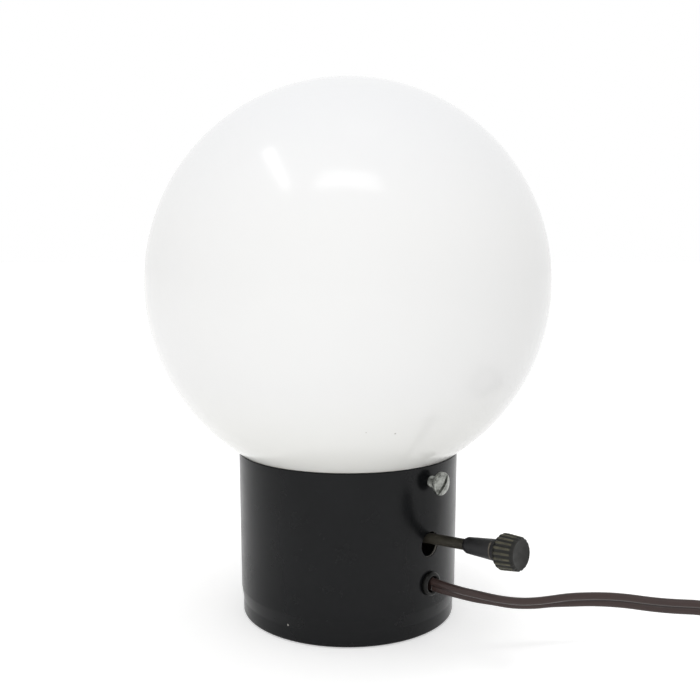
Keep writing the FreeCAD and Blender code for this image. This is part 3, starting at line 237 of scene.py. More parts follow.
def added(name, operator, **settings):
    """The object that the operator adds, under its new name."""
    deselect()
    operator(**settings)
    piece = bpy.context.object
    piece.name = piece.data.name = name
    return piece


def only(piece):
    deselect()
    piece.select_set(True)
    bpy.context.view_layer.objects.active = piece


def open_for_edit(piece, select=True):
    only(piece)
    bpy.ops.object.mode_set(mode="EDIT")
    bpy.ops.mesh.select_mode(type="VERT")
    bpy.ops.mesh.select_all(action="SELECT" if select else "DESELECT")


def close_edit():
    bpy.ops.object.mode_set(mode="OBJECT")


def choose(piece, test):
    """Select the vertices of the mesh being edited that pass the test."""
    mesh = bmesh.from_edit_mesh(piece.data)
    for vertex in mesh.verts:
        vertex.select_set(test(vertex.co))
    mesh.select_flush(True)
    bmesh.update_edit_mesh(piece.data)


def set_down(piece, location=(0, 0, 0), turn=(0, 0, 0)):
    """Turn and move a piece made at the origin, and put the change into its mesh."""
    piece.rotation_euler = turn
    piece.location = location
    only(piece)
    bpy.ops.object.transform_apply(location=True, rotation=True, scale=True)


def apply_modifier(piece, kind, **settings):
    only(piece)
    bpy.ops.object.modifier_add(type=kind)
    modifier = piece.modifiers[-1]
    for name, value in settings.items():
        setattr(modifier, name, value)
    bpy.ops.object.modifier_apply(modifier=modifier.name)


def cut_away(piece, operator, **settings):
    """Take the shape that the operator adds out of the piece."""
    cutter = added("cutter", operator, **settings)
    apply_modifier(piece, "BOOLEAN", operation="DIFFERENCE", solver="EXACT", object=cutter)
    bpy.data.objects.remove(cutter)


def round_edges(piece, width, segments, angle):
    apply_modifier(piece, "BEVEL", width=width, segments=segments, limit_method="ANGLE",
                   angle_limit=radians(angle))


def smooth(piece, angle=32):
    only(piece)
    bpy.ops.object.shade_smooth_by_angle(angle=radians(angle))


def clean(piece, smooth_angle=32):
    """Merge doubles, turn faces outwards and smooth all but the true edges."""
    open_for_edit(piece)
    bpy.ops.mesh.remove_doubles(threshold=4 * POINT)
    bpy.ops.mesh.normals_make_consistent(inside=False)
    close_edit()
    smooth(piece, smooth_angle)


def bend(middle, radius, start, end, steps):
    """Outline points on an arc, angles in degrees from the outward direction."""
    points = []
    for step in range(steps + 1):
        angle = radians(start + (end - start) * step / steps)
        points.append((middle[0] + radius * cos(angle), middle[1] + radius * sin(angle)))
    return points


def steps_between(start, end, steps=20):
    """Outline points on the straight between two places, without the places."""
    (x, y), (end_x, end_y) = start, end
    shares = [step / steps for step in range(1, steps)]
    return [(x + (end_x - x) * share, y + (end_y - y) * share) for share in shares]


def rounded(corners, steps=4):
    """Outline through corners given as radius, height and round of the corner."""
    points = []
    for number, (x, y, curve) in enumerate(corners):
        here = Vector((x, y))
        if not curve:
            points.append((x, y))
            continue
        before = Vector(corners[number - 1][:2])
        after = Vector(corners[(number + 1) % len(corners)][:2])
        back = (before - here).normalized()
        on = (after - here).normalized()
        half = back.angle(on) / 2
        middle = here + (back + on).normalized() * (curve / sin(half))
        first = here + back * (curve / tan(half)) - middle
        last = here + on * (curve / tan(half)) - middle
        for step in range(steps + 1):
            spoke = first.lerp(last, step / steps).normalized() * curve
            points.append(tuple(middle + spoke))
    return points


def raise_rings(outline):
    """Extrude the selected ring from the outline's first point through all others."""
    radius, height = outline[0]
    for next_radius, next_height in outline[1:]:
        grow = next_radius / radius
        bpy.ops.mesh.extrude_edges_move(
            TRANSFORM_OT_translate={"value": (0, 0, next_height - height)})
        bpy.ops.transform.resize(value=(grow, grow, 1), center_override=(0, 0, next_height))
        radius, height = next_radius, next_height


def turned(name, outline, sides=96, smooth_angle=32):
    """A piece turned about Z: a circle is added, then extruded and resized up its outline."""
    outline = [(max(radius * MM, POINT), height * MM) for radius, height in outline]
    radius, height = outline[0]
    piece = added(
        name, bpy.ops.mesh.primitive_circle_add, vertices=sides, radius=radius, fill_type="NOTHING")
    open_for_edit(piece)
    bpy.ops.transform.translate(value=(0, 0, height))
    raise_rings(outline)
    close_edit()
    clean(piece, smooth_angle)
    return piece


def stretched(name, stations):
    """A bar along X: a square face is added and extruded through its stations."""
    stations = [[value * MM for value in station] for station in stations]
    x, wide, high = stations[0]
    piece = added(name, bpy.ops.mesh.primitive_plane_add, size=1)
    open_for_edit(piece)
    bpy.ops.transform.rotate(value=radians(90), orient_axis="Y", center_override=(0, 0, 0))
    bpy.ops.transform.resize(value=(1, wide, high), center_override=(0, 0, 0))
    bpy.ops.transform.translate(value=(x, 0, 0))
    for next_x, next_wide, next_high in stations[1:]:
        bpy.ops.mesh.extrude_region_move(TRANSFORM_OT_translate={"value": (next_x - x, 0, 0)})
        bpy.ops.transform.resize(
            value=(1, next_wide / wide, next_high / high), center_override=(next_x, 0, 0))
        x, wide, high = next_x, next_wide, next_high
    close_edit()
    clean(piece)
    return piece


def finish_named(slot):
    return bpy.data.materials[FINISH_NAMES[slot]]


def dress(piece, slot, body, *nodes):
    """Give a new piece its finish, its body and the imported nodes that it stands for."""
    piece.data.materials.clear()
    piece.data.materials.append(finish_named(slot))
    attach(piece, body)
    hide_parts(*nodes)


# Shader nodes

class NodeMaker:
    """Short ways to add nodes to one shader tree."""

    def __init__(self, tree):
        self.tree = tree

    def feed(self, socket, value):
        """Link the socket to an output, or set it to a constant."""
        if isinstance(value, bpy.types.NodeSocket):
            self.tree.links.new(value, socket)
        elif socket.type == "RGBA":
            socket.default_value = (*value[:3], 1)
        else:
            socket.default_value = value

    def add(self, kind, inputs=(), **settings):
        """A new node with its settings made and its inputs fed, by name or number."""
        node = self.tree.nodes.new("ShaderNode" + kind)
        for name, value in settings.items():
            setattr(node, name, value)
        for label, value in dict(inputs).items():
            self.feed(node.inputs[label], value)
        return node

    def number(self, operation, *values):
        return self.add("Math", enumerate(values), operation=operation).outputs[0]

    def times(self, first, second):
        return self.number("MULTIPLY", first, second)

    def length(self, x, y):
        return self.number("SQRT", self.number("ADD", self.times(x, x), self.times(y, y)))

    def spread(self, value, low, high):
        """Stretch a value so that low becomes 0 and high becomes 1."""
        return self.add("MapRange", {"Value": value, "From Min": low, "From Max": high}).outputs[0]

    def noise(self, vector, scale, detail, roughness):
        inputs = {"Vector": vector, "Scale": scale, "Detail": detail, "Roughness": roughness}
        return self.add("TexNoise", inputs).outputs[0]

    def moved(self, vector, location=(0, 0, 0), rotation=(0, 0, 0), scale=(1, 1, 1)):
        inputs = {"Vector": vector, "Location": location, "Rotation": rotation, "Scale": scale}
        return self.add("Mapping", inputs).outputs[0]


def new_group(name, **numbers):
    """An empty group that takes a Vector and numbers and gives a Mask: its maker and both ends."""
    tree = bpy.data.node_groups.new(name, "ShaderNodeTree")
    tree.interface.new_socket(name="Vector", in_out="INPUT", socket_type="NodeSocketVector")
    for label, default in numbers.items():
        socket = tree.interface.new_socket(name=label, in_out="INPUT", socket_type="NodeSocketFloat")
        socket.default_value = default
    tree.interface.new_socket(name="Mask", in_out="OUTPUT", socket_type="NodeSocketFloat")
    given = tree.nodes.new("NodeGroupInput").outputs
    mask = tree.nodes.new("NodeGroupOutput").inputs["Mask"]
    return NodeMaker(tree), given, mask


def make_mottle_group():
    """Cloudy variation from 0 to 1; a small Spread gives a strong contrast."""
    nodes, given, mask = new_group("Lamp mottle", Scale=60.0, Spread=0.3)
    noise = nodes.noise(given["Vector"], given["Scale"], 6, 0.6)
    half = nodes.times(given["Spread"], 0.5)
    low = nodes.number("SUBTRACT", 0.5, half)
    high = nodes.number("ADD", 0.5, half)
    nodes.feed(mask, nodes.spread(noise, low, high))


def make_speck_group():
    """Scattered small round specks of dust or of missing finish."""
    nodes, given, mask = new_group("Lamp specks", Scale=300.0, Size=0.12, Share=0.4)
    cells = nodes.add("TexVoronoi", {"Vector": given["Vector"], "Scale": given["Scale"]}).outputs
    ragged = nodes.noise(given["Vector"], nodes.times(given["Scale"], 4.0), 2, 0.5)
    inside = nodes.number("LESS_THAN", cells["Distance"], nodes.times(given["Size"], ragged))
    pick = nodes.add("SeparateColor", {0: cells["Color"]}).outputs[0]
    kept = nodes.number("LESS_THAN", pick, given["Share"])
    nodes.feed(mask, nodes.times(inside, kept))


def make_scratch_group():
    """Fine hairlines drawn out along one axis of the vector."""
    nodes, given, mask = new_group("Lamp scratches", Scale=900.0, Share=0.3)
    drawn = nodes.moved(given["Vector"], rotation=(0.5, 0.3, 0.8), scale=(1, 0.06, 1))
    lines = nodes.noise(drawn, given["Scale"], 3, 0.5)
    start = nodes.number("SUBTRACT", 0.78, nodes.times(given["Share"], 0.3))
    nodes.feed(mask, nodes.spread(lines, start, nodes.number("ADD", start, 0.06)))


class Finish(NodeMaker):
    """A material in the making, with its shader's inputs and its places."""

    def __init__(self, slot, constants):
        material = bpy.data.materials.new(slot)
        material.use_nodes = True
        FINISH_NAMES[slot] = material.name
        super().__init__(material.node_tree)
        self.shader = self.tree.nodes["Principled BSDF"].inputs
        for name, value in constants.items():
            self.shader[name].default_value = value
        coordinates = self.add("TexCoord").outputs
        self.place = coordinates["Object"]
        self.uv = coordinates["UV"]

    def shared(self, group, vector=None, **numbers):
        inputs = {"Vector": vector or self.place, **numbers}
        return self.add("Group", inputs, node_tree=bpy.data.node_groups[group]).outputs["Mask"]

    def clouds(self, scale, spread=0.5, vector=None):
        return self.shared("Lamp mottle", vector, Scale=scale, Spread=spread)

    def specks(self, scale, size, share):
        return self.shared("Lamp specks", Scale=scale, Size=size, Share=share)

    def parts(self, vector):
        return self.add("SeparateXYZ", {0: vector}).outputs

    def blend(self, mask, first, second, most=1):
        """Colour that goes from first to second, or as far as most, as the mask goes to 1."""
        if most < 1:
            mask = self.times(mask, most)
        return self.add("Mix", {0: mask, 6: first, 7: second}, data_type="RGBA").outputs[2]

    def shades(self, mask, colour, dark, light):
        """Colour that goes from its darker to its lighter shade, both given as factors."""
        return self.blend(mask, shade_of(colour, dark), shade_of(colour, light))

    def between(self, mask, first, second):
        """Number that goes from first to second as the mask goes from 0 to 1."""
        return self.add("Mix", {0: mask, 2: first, 3: second}, data_type="FLOAT").outputs[0]

    def spot(self, centre, radius):
        """Mask of a small round spot about a point on the surface."""
        away = self.add("VectorMath", {0: self.place, 1: centre}, operation="DISTANCE")
        return self.number("LESS_THAN", away.outputs["Value"], radius)

    def colour(self, value):
        self.feed(self.shader["Base Color"], value)

    def roughness(self, value):
        self.feed(self.shader["Roughness"], value)

    def bump(self, height, depth, strength=1.0):
        """Add a relief on top of any relief that is there already."""
        node = self.add("Bump", {"Height": height, "Distance": depth, "Strength": strength})
        before = self.shader["Normal"].links
        if before:
            self.feed(node.inputs["Normal"], before[0].from_socket)
        self.feed(self.shader["Normal"], node.outputs[0])

    def grain(self, scale, depth, strength=1.0):
        self.bump(self.clouds(scale, 1.0), depth, strength)


def make_plain_finish(slot, dark, light, scale, rough, grain_scale, depth, hairlines, constants):
    """A finish with cloudy colour, varied roughness, a fine grain and perhaps hairlines."""
    finish = Finish(slot, constants)
    colour = finish.blend(finish.clouds(scale, 0.35), dark, light)
    shine = finish.between(finish.clouds(scale * 3.3, 0.4), *rough)
    finish.grain(grain_scale, depth)
    if hairlines:
        lines = finish.shared("Lamp scratches", Scale=grain_scale, Share=hairlines)
        shine = finish.number("ADD", shine, finish.times(lines, 0.15))
        colour = finish.blend(lines, colour, light, 0.35)
    finish.colour(colour)
    finish.roughness(shine)


def shade_of(colour, amount):
    """The same colour made darker or lighter by a factor."""
    return tuple(min(1, channel * amount) for channel in colour[:3])


def make_opal_glass(colours):
    """White blown glass with a few specks in it. Painted light: a cool cast on its top, a lighter and a
    little yellower tone towards the neck, and a reflection of the rusty rim at its foot.
    """
    finish = Finish("opal_glass", {"IOR": 1.5, "Specular IOR Level": 0.3})
    height = finish.parts(finish.place)[2]
    white = finish.shades(finish.clouds(14.0, 0.6), colours.opal, 0.99, 1.01)
    # Painted light: the top of the globe is tinted cool and a little darker, as light from above falls on it
    cool_light_on_top = finish.spread(height, GLOBE_MIDDLE + 20 * MM, GLOBE_MIDDLE + 60 * MM)
    white = finish.blend(cool_light_on_top, white, (0.89, 0.897, 0.915), 0.7)
    # Painted light: towards the neck the glass turns lighter and a little yellower, brightening its shaded
    # underside
    neck = finish.spread(height, 95 * MM, 68 * MM)
    colour = finish.blend(neck, white, colours.opal_neck_lightened)
    for centre, radius in GLASS_SPECKS:
        colour = finish.blend(finish.spot(centre, radius), colour, (0.3, 0.28, 0.24), 0.55)
    colour = finish.blend(finish.specks(90.0, 0.035, 0.25), colour, (0.5, 0.48, 0.44), 0.25)
    # Painted reflection: a cloudy brown band on the glass at the rim stands for the rusty rim mirrored in it
    low = finish.spread(height, RIM_HEIGHT + 1.5 * MM, RIM_HEIGHT - 1 * MM)
    rim_rust_reflection = finish.times(low, finish.clouds(130.0, 0.2))
    finish.colour(finish.blend(rim_rust_reflection, colour, (0.52, 0.42, 0.32), 0.35))
    finish.roughness(finish.between(finish.clouds(45.0), 0.14, 0.18))
    finish.grain(26.0, 0.05 * MM, 0.5)


def make_black_enamel(colours):
    """Stoved black enamel with orange peel, dust and chips; bare, rusty steel inside."""
    finish = Finish("black_enamel", {"IOR": 1.5, "Specular IOR Level": 0.165})
    across, deep, height = finish.parts(finish.place)
    black = finish.shades(finish.clouds(38.0), colours.enamel, 0.8, 1.25)
    black = finish.blend(finish.specks(240.0, 0.10, 0.06), black, (0.22, 0.21, 0.19), 0.05)
    chips = finish.times(finish.specks(60.0, 0.045, 0.05), 0.06)
    chips = finish.number("MAXIMUM", chips, finish.spot(*ENAMEL_CHIP))
    black = finish.blend(chips, black, (0.30, 0.29, 0.27))
    widen = finish.spread(height, BAND_TOP * MM, SKIRT_BOTTOM * MM)
    sheet_middle = finish.between(widen, 40.8 * MM, 41.6 * MM)
    inside = finish.number("LESS_THAN", finish.length(across, deep), sheet_middle)
    inside = finish.times(inside, finish.number("GREATER_THAN", height, 3 * MM))
    high = finish.spread(height, RIM_HEIGHT - 9 * MM, RIM_HEIGHT - 2 * MM)
    blotches = finish.clouds(210.0, 0.16)
    bare = finish.blend(blotches, (0.24, 0.225, 0.20), (0.34, 0.33, 0.31))
    rusty = finish.times(finish.times(inside, high), blotches)
    finish.colour(finish.blend(rusty, finish.blend(inside, black, bare), colours.rust))
    finish.roughness(finish.between(rusty, finish.between(finish.clouds(120.0), 0.20, 0.30), 0.8))
    finish.grain(420.0, 0.012 * MM, 0.6)
    finish.grain(45.0, 0.06 * MM, 0.5)


def knob_place(finish):
    """Object place measured from the knob's rear: across, up and along the shaft."""
    centred = finish.moved(finish.place, location=-SHAFT_MIDDLE)
    turn_back = [-angle for angle in ALONG_SHAFT]
    return finish.parts(finish.moved(centred, (0, 0, -KNOB_START), turn_back))


def make_knob_brown(colours):
    """Moulded dark brown knob whose ribs are worn to olive tan between dark flutes."""
    finish = Finish("knob_brown", {"IOR": 1.5, "Specular IOR Level": 0.25})
    x, y, along = knob_place(finish)
    level = finish.number("ADD", finish.length(x, y), finish.times(along, KNOB_TAPER))
    crest = finish.spread(level, 6.15 * MM, 6.4 * MM)
    grime = finish.clouds(420.0, 0.3)
    worn = finish.times(crest, finish.between(grime, 0.35, 1.0))
    worn = finish.times(worn, finish.spread(along, 9.7 * MM, 9.2 * MM))
    brown = finish.shades(finish.clouds(180.0), colours.knob, 0.6, 1.1)
    brown = finish.blend(worn, brown, colours.knob_crest)
    rubbed = finish.times(finish.spread(along, 1 * MM, 2.2 * MM), grime)
    plain = finish.blend(rubbed, colours.collar, (0.16, 0.145, 0.11))
    hub = finish.spread(along, 2.4 * MM, 2.2 * MM)
    finish.colour(finish.blend(hub, brown, plain))
    finish.roughness(finish.between(grime, 0.36, 0.55))
    finish.grain(1500.0, 0.02 * MM, 0.6)


def make_black_collar(colours):
    """Black collar that is rubbed to bare metal at the neck next to the knob."""
    finish = Finish("black_collar", {"IOR": 1.5, "Specular IOR Level": 0.3})
    near = finish.spread(knob_place(finish)[2], -0.6 * MM, 0)
    bare = finish.times(near, finish.clouds(520.0, 0.25))
    cloud = finish.clouds(260.0)
    black = finish.shades(cloud, colours.collar, 0.8, 1.5)
    finish.colour(finish.blend(bare, black, (0.24, 0.21, 0.165)))
    finish.feed(finish.shader["Metallic"], bare)
    finish.roughness(finish.between(cloud, 0.33, 0.48))
    finish.grain(1300.0, 0.015 * MM, 0.6)


def make_brown_cord(colours, girth):
    """Brown rubber with lengthwise drawing marks, painted shade in its grooves and dull, dusty patches."""
    finish = Finish("brown_cord", {"IOR": 1.5, "Specular IOR Level": 0.36})
    streaks = finish.clouds(900.0, vector=finish.moved(finish.uv, scale=(0.05, 1, 1)))
    clouds = finish.clouds(90.0, vector=finish.uv)
    brown = finish.shades(streaks, colours.cord, 0.82, 1.15)
    brown = finish.blend(clouds, brown, shade_of(colours.cord, 1.5), 0.35)
    brown = finish.blend(finish.specks(700.0, 0.18, 0.12), brown, (0.26, 0.22, 0.19), 0.4)
    # Painted shade: the colour darkens along both grooves between the lobes, where shade falls
    round_it = finish.number("PINGPONG", finish.parts(finish.uv)[1], girth / 4)
    groove = finish.spread(round_it, 0.5 * MM, 0.1 * MM)
    finish.colour(finish.blend(groove, brown, shade_of(colours.cord, 0.25), 0.75))
    finish.roughness(finish.between(clouds, 0.32, 0.46))
    finish.bump(streaks, 0.03 * MM, 0.6)
    finish.grain(2200.0, 0.015 * MM, 0.5)


def make_felt():
    """Pressed wool felt with short crossing fibres."""
    finish = Finish("felt", {"Roughness": 0.95, "Specular IOR Level": 0.1, "Sheen Weight": 0.3})
    fibres = finish.shared("Lamp scratches", Scale=1500.0, Share=0.9)
    wool = finish.blend(finish.clouds(300.0, 0.4), (0.018, 0.035, 0.022), (0.035, 0.060, 0.040))
    finish.colour(finish.blend(fibres, wool, (0.09, 0.13, 0.10), 0.5))
    finish.grain(1900.0, 0.25 * MM, 0.8)


class LAMP_OT_finishes(bpy.types.Operator):
    """Make the shared shader groups and all finishes"""

    bl_idname = "lamp.finishes"
    bl_label = "Make Finishes"

    def execute(self, context):
        colours = context.scene.lamp_colours
        make_mottle_group()
        make_speck_group()
        make_scratch_group()
        make_opal_glass(colours)
        make_black_enamel(colours)
        make_knob_brown(colours)
        make_black_collar(colours)
        make_brown_cord(colours, girth_of(cord_section(context.scene.lamp_sizes))[-1])
        make_felt()
        steel = colours.steel
        bronze = colours.bronze
        make_plain_finish("bright_steel", shade_of(steel, 0.3), shade_of(steel, 1.2), 520.0, (0.22, 0.40),
                          1300.0, 0.09 * MM, 0.9, {"Metallic": 0.85})
        make_plain_finish("bronzed_brass", shade_of(bronze, 0.7), shade_of(bronze, 1.5), 260.0, (0.36, 0.52),
                          1400.0, 0.015 * MM, 0.3, {"Metallic": 0.2, "Specular IOR Level": 0.25})
        for row in PLAIN_FINISHES:
            make_plain_finish(*row)
        return {"FINISHED"}


class LAMP_OT_camera(bpy.types.Operator):
    """Add the camera at the photograph's place"""

    bl_idname = "lamp.camera"
    bl_label = "Add Camera"

    def execute(self, context):
        camera = added(
            "lamp_camera", bpy.ops.object.camera_add, location=(0.24096, -0.24096, 0.13768),
            rotation=(radians(83.935), 0, radians(44.877)))
        camera.data.lens = 45.63
        camera.data.sensor_width = 36
        context.scene.camera = camera
        return {"FINISHED"}


# Cord

def coil_points():
    """Control points of the put-away coil: in on the floor, up in the middle, out on top."""
    points = []
    count = 132
    step = 22.5
    widen = 1 / cos(radians(step / 2))
    pitch = 3.6 * MM
    rise = 5.9 * MM
    inward = 4
    climb = 0.5
    for number in range(count):
        turned_by = (number + 0.5) * step
        turns = turned_by / 360
        if turns < inward:
            radius = 37.9 * MM - pitch * turns
            aside = -0.9 * MM
            lift = 0
        elif turns < inward + climb:
            radius = 22.8 * MM
            aside = 0
            lift = rise * (turns - inward) / climb
        else:
            radius = 23.5 * MM + pitch * (turns - inward - climb)
            aside = 0.9 * MM
            lift = rise
        angle = radians(turned_by)
        reach = radius * widen
        spot = COIL_MIDDLE + COIL_ACROSS * (aside + reach * cos(angle))
        spot = spot + COIL_ALONG * (reach * sin(angle))
        points.append((spot.x, spot.y, spot.z + lift))
    return points


def cord_line():
    """Points of the cord's smooth line, read from the NURBS spline of its route."""
    route = [CORD_EXIT] + CORD_ROUTE + coil_points() + CORD_TAIL
    curve = bpy.data.curves.new("cord_route", "CURVE")
    curve.dimensions = "3D"
    curve.resolution_u = 10
    spline = curve.splines.new("NURBS")
    spline.points.add(len(route) - 1)
    for point, place in zip(spline.points, route):
        point.co = (*place, 1)
    spline.order_u = 3
    spline.use_endpoint_u = True
    holder = bpy.data.objects.new("cord_route", curve)
    bpy.context.scene.collection.objects.link(holder)
    mesh = bpy.data.meshes.new_from_object(holder)
    line = [vertex.co.copy() for vertex in mesh.vertices]
    bpy.data.meshes.remove(mesh)
    bpy.data.objects.remove(holder)
    bpy.data.curves.remove(curve)
    return line


def cord_section(sizes, per_lobe=12):
    """Outline of the twin cord as across, up pairs: two round lobes joined by a web."""
    thick = sizes.cord_thickness / 2
    rise = sizes.cord_width / 2 - thick
    web = thick - sizes.cord_groove / 2
    dip = degrees(acos(web / thick)) + 6
    upper = bend((0, rise), thick, -dip, 180 + dip, per_lobe)
    lower = [(-across, -up) for across, up in upper]
    side = web - 0.03 * MM
    return [(side, 0.0)] + upper + [(-side, 0.0)] + lower


def girth_of(section):
    """Length round the section at each of its points, and the whole way round at the end."""
    girth = [0.0]
    for number, here in enumerate(section):
        after = section[(number + 1) % len(section)]
        girth.append(girth[-1] + (Vector(after) - Vector(here)).length)
    return girth


def lean_at(distance):
    """Angle by which the cord's top leans at a distance along it."""
    for (start, first), (end, last) in zip(CORD_LEAN, CORD_LEAN[1:]):
        share = (distance / MM - start) / (end - start)
        if share < 1:
            ease = share * share * (3 - 2 * share)
            return radians(first + (last - first) * ease)
    return 0


def tube_mesh(name, line, section):
    """Sweep the section along the line, its tall side upright but for the lean."""
    vertices = []
    faces = []
    count = len(section)
    girth = girth_of(section)
    travelled = [0.0]
    for here, after in zip(line, line[1:]):
        travelled.append(travelled[-1] + (after - here).length)
    for number, spot in enumerate(line):
        before = line[max(number - 1, 0)]
        after = line[min(number + 1, len(line) - 1)]
        along = (after - before).normalized()
        up = (UPWARDS - along * along.z).normalized()
        side = along.cross(up)
        angle = lean_at(travelled[number])
        tall = up * cos(angle) + side * sin(angle)
        wide = side * cos(angle) - up * sin(angle)
        for across, high in section:
            vertices.append(spot + wide * across + tall * high)
    for ring in range(len(line) - 1):
        for number in range(count):
            a = ring * count + number
            b = ring * count + (number + 1) % count
            faces.append((a, b, b + count, a + count))
    faces.append(tuple(range(count))[::-1])
    faces.append(tuple(range(len(vertices) - count, len(vertices))))
    mesh = bpy.data.meshes.new(name)
    mesh.from_pydata(vertices, [], faces)
    layer = mesh.uv_layers.new(name="along_cord")
    for polygon in mesh.polygons:
        for loop_index in polygon.loop_indices:
            ring, number = divmod(mesh.loops[loop_index].vertex_index, count)
            closing = number == 0 and polygon.index % count == count - 1
            layer.data[loop_index].uv = (travelled[ring], girth[count] if closing else girth[number])
    piece = bpy.data.objects.new(name, mesh)
    bpy.context.scene.collection.objects.link(piece)
    return piece


class LAMP_OT_cord(bpy.types.Operator):
    """Add the flat twin cord along its route, with its put-away coil"""

    bl_idname = "lamp.cord"
    bl_label = "Add Cord"

    def execute(self, context):
        sizes = context.scene.lamp_sizes
        line = cord_line()
        cord = tube_mesh("cord_flex", line, cord_section(sizes))
        clean(cord, 60)
        dress(cord, "brown_cord", "base", "cord_run", "cord_coil", "cord_tail")
        return {"FINISHED"}


class LAMP_OT_plug(bpy.types.Operator):
    """Add the two-blade plug with its grip ribs and pierced blades"""

    bl_idname = "lamp.plug"
    bl_label = "Add Plug"

    def execute(self, context):
        body = stretched("plug_moulding", [
            (0.0, 9.0, 7.0), (2.2, 9.0, 7.0), (2.6, 8.2, 6.2), (3.6, 8.2, 6.2), (4.0, 9.4, 7.2),
            (5.4, 9.6, 7.4), (9.0, 14.5, 9.6), (12.6, 19.2, 11.7), (13.5, 20.0, 12.0),
            (15.2, 20.0, 12.0), (15.7, 19.0, 11.2), (16.7, 19.0, 11.2), (17.2, 20.0, 12.0),
            (18.4, 20.0, 12.0), (18.9, 19.0, 11.2), (19.9, 19.0, 11.2), (20.4, 20.0, 12.0),
            (23.6, 20.0, 12.0), (24.2, 22.0, 12.0), (27.0, 22.0, 12.0)])
        round_edges(body, 1.4 * MM, 3, 60)
        set_down(body, PLUG_PLACE, (0, 0, PLUG_HEADING))
        clean(body, 40)
        dress(body, "phenolic", "base", "plug_body")
        blades = [self.add_blade(6.35 * MM), self.add_blade(-6.35 * MM)]
        deselect()
        for blade in blades:
            blade.select_set(True)
        context.view_layer.objects.active = blades[0]
        bpy.ops.object.join()
        pins = context.object
        pins.name = "plug_pins"
        set_down(pins, PLUG_PLACE, (0, 0, PLUG_HEADING))
        smooth(pins, 35)
        dress(pins, "brass", "base", "plug_blades")
        return {"FINISHED"}

    def add_blade(self, aside):
        blade = stretched("plug_pins", [
            (26.9, 1.5, 6.35), (42.2, 1.5, 6.35), (43.6, 1.4, 5.5), (44.5, 1.1, 3.2)])
        cut_away(blade, bpy.ops.mesh.primitive_cylinder_add, vertices=32, radius=1.6 * MM, depth=6 * MM,
                 location=(40.7 * MM, 0, 0), rotation=(radians(90), 0, 0))
        set_down(blade, (0, aside, 0))
        round_edges(blade, 0.2 * MM, 2, 50)
        return blade


class LAMP_OT_globe(bpy.types.Operator):
    """Add the blown opal globe with its neck, waist and turned-out lip"""

    bl_idname = "lamp.globe"
    bl_label = "Add Globe"

    def execute(self, context):
        sizes = context.scene.lamp_sizes
        waist = sizes.waist_radius
        lip = sizes.lip_radius
        curve = sizes.lip_curve
        bottom = GLOBE_BOX[0].z
        fillet = 3 * MM
        reach = sizes.globe_radius + fillet
        bend_radius = waist + fillet
        bend_drop = sqrt(reach ** 2 - bend_radius ** 2)
        touch = degrees(atan2(bend_drop, -bend_radius))
        share = sizes.globe_radius / reach
        start = GLOBE_MIDDLE - bend_drop * share
        turn = degrees(acos(1 - (lip - waist) / 2 / curve))
        land = bottom + 0.6 * MM
        shoulder = land + 2 * curve * sin(radians(turn))
        outline = [(bend_radius * share, start)]
        outline += bend((bend_radius, GLOBE_MIDDLE - bend_drop), fillet, touch, 180, 6)[1:]
        outline += bend((waist + curve, shoulder), curve, 180, 180 + turn, 6)
        outline += bend((lip - curve, land), curve, turn, 0, 6)[1:]
        outline += [(lip, bottom)]
        globe = added(
            "opal_globe", bpy.ops.mesh.primitive_uv_sphere_add, segments=160, ring_count=96,
            radius=sizes.globe_radius, location=(0, 0, GLOBE_MIDDLE))
        set_down(globe, (0, 0, GLOBE_MIDDLE))
        open_for_edit(globe)
        bpy.ops.mesh.bisect(plane_co=(0, 0, start), plane_no=(0, 0, 1), clear_inner=True)
        choose(globe, lambda place: place.z < start + 20 * POINT)
        raise_rings(outline)
        close_edit()
        clean(globe)
        apply_modifier(globe, "SOLIDIFY", thickness=sizes.glass_wall, offset=-1, use_even_offset=True)
        smooth(globe, 40)
        dress(globe, "opal_glass", "globe", "glass_globe")
        return {"FINISHED"}


class LAMP_OT_base(bpy.types.Operator):
    """Add the enamelled base: a drawn cup with a rolled rim, a foot band and three holes"""

    bl_idname = "lamp.base"
    bl_label = "Add Base"

    def execute(self, context):
        sizes = context.scene.lamp_sizes
        wall = sizes.shell_wall / MM
        rim = sizes.rim_radius / MM
        top = sizes.rim_height / MM - 0.3
        skirt = 41.85
        band = 41.15
        foot_rim = 36.5
        under = 1.5
        lift = 0.2
        outline = [(0, under), (12, under), (24, under), (foot_rim - 0.4, under)]
        outline += rounded([
            (foot_rim, under, 0.3), (foot_rim, lift, 0.3), (band, lift, 0.9), (band, BAND_TOP, 5),
            (skirt, SKIRT_BOTTOM, 5), (rim, top, 0)], 8)[:-1]
        outline += steps_between(outline[-1], (rim, top - wall))
        outline += bend((rim - wall / 2, top - wall / 2), wall / 2, 0, 180, 8)
        outline += steps_between((rim - wall, top - wall / 2), (skirt - wall, 9.4 - wall / 2))
        outline += rounded([
            (skirt - wall, 9.2, 0), (band - wall, 6.6, 1), (band - wall, lift + wall, 0.6),
            (foot_rim + wall, lift + wall, 0.3), (foot_rim + wall, under + wall, 0.3),
            (30, under + wall, 0)])
        outline += [(15, under + wall), (0, under + wall)]
        shell = turned("enamelled_base", outline, 192)
        for height, radius in (
                (SCREW_HEIGHT, SCREW_HOLE_RADIUS), (SWITCH_HOLE_HEIGHT, SWITCH_HOLE_RADIUS),
                (CORD_HEIGHT, CORD_HOLE_RADIUS)):
            cut_away(shell, bpy.ops.mesh.primitive_cylinder_add, vertices=64, radius=radius,
                     depth=16 * MM, location=(RIM_RADIUS, 0, height), rotation=ALONG_X)
        smooth(shell)
        dress(shell, "black_enamel", "base", "base_shell")
        return {"FINISHED"}


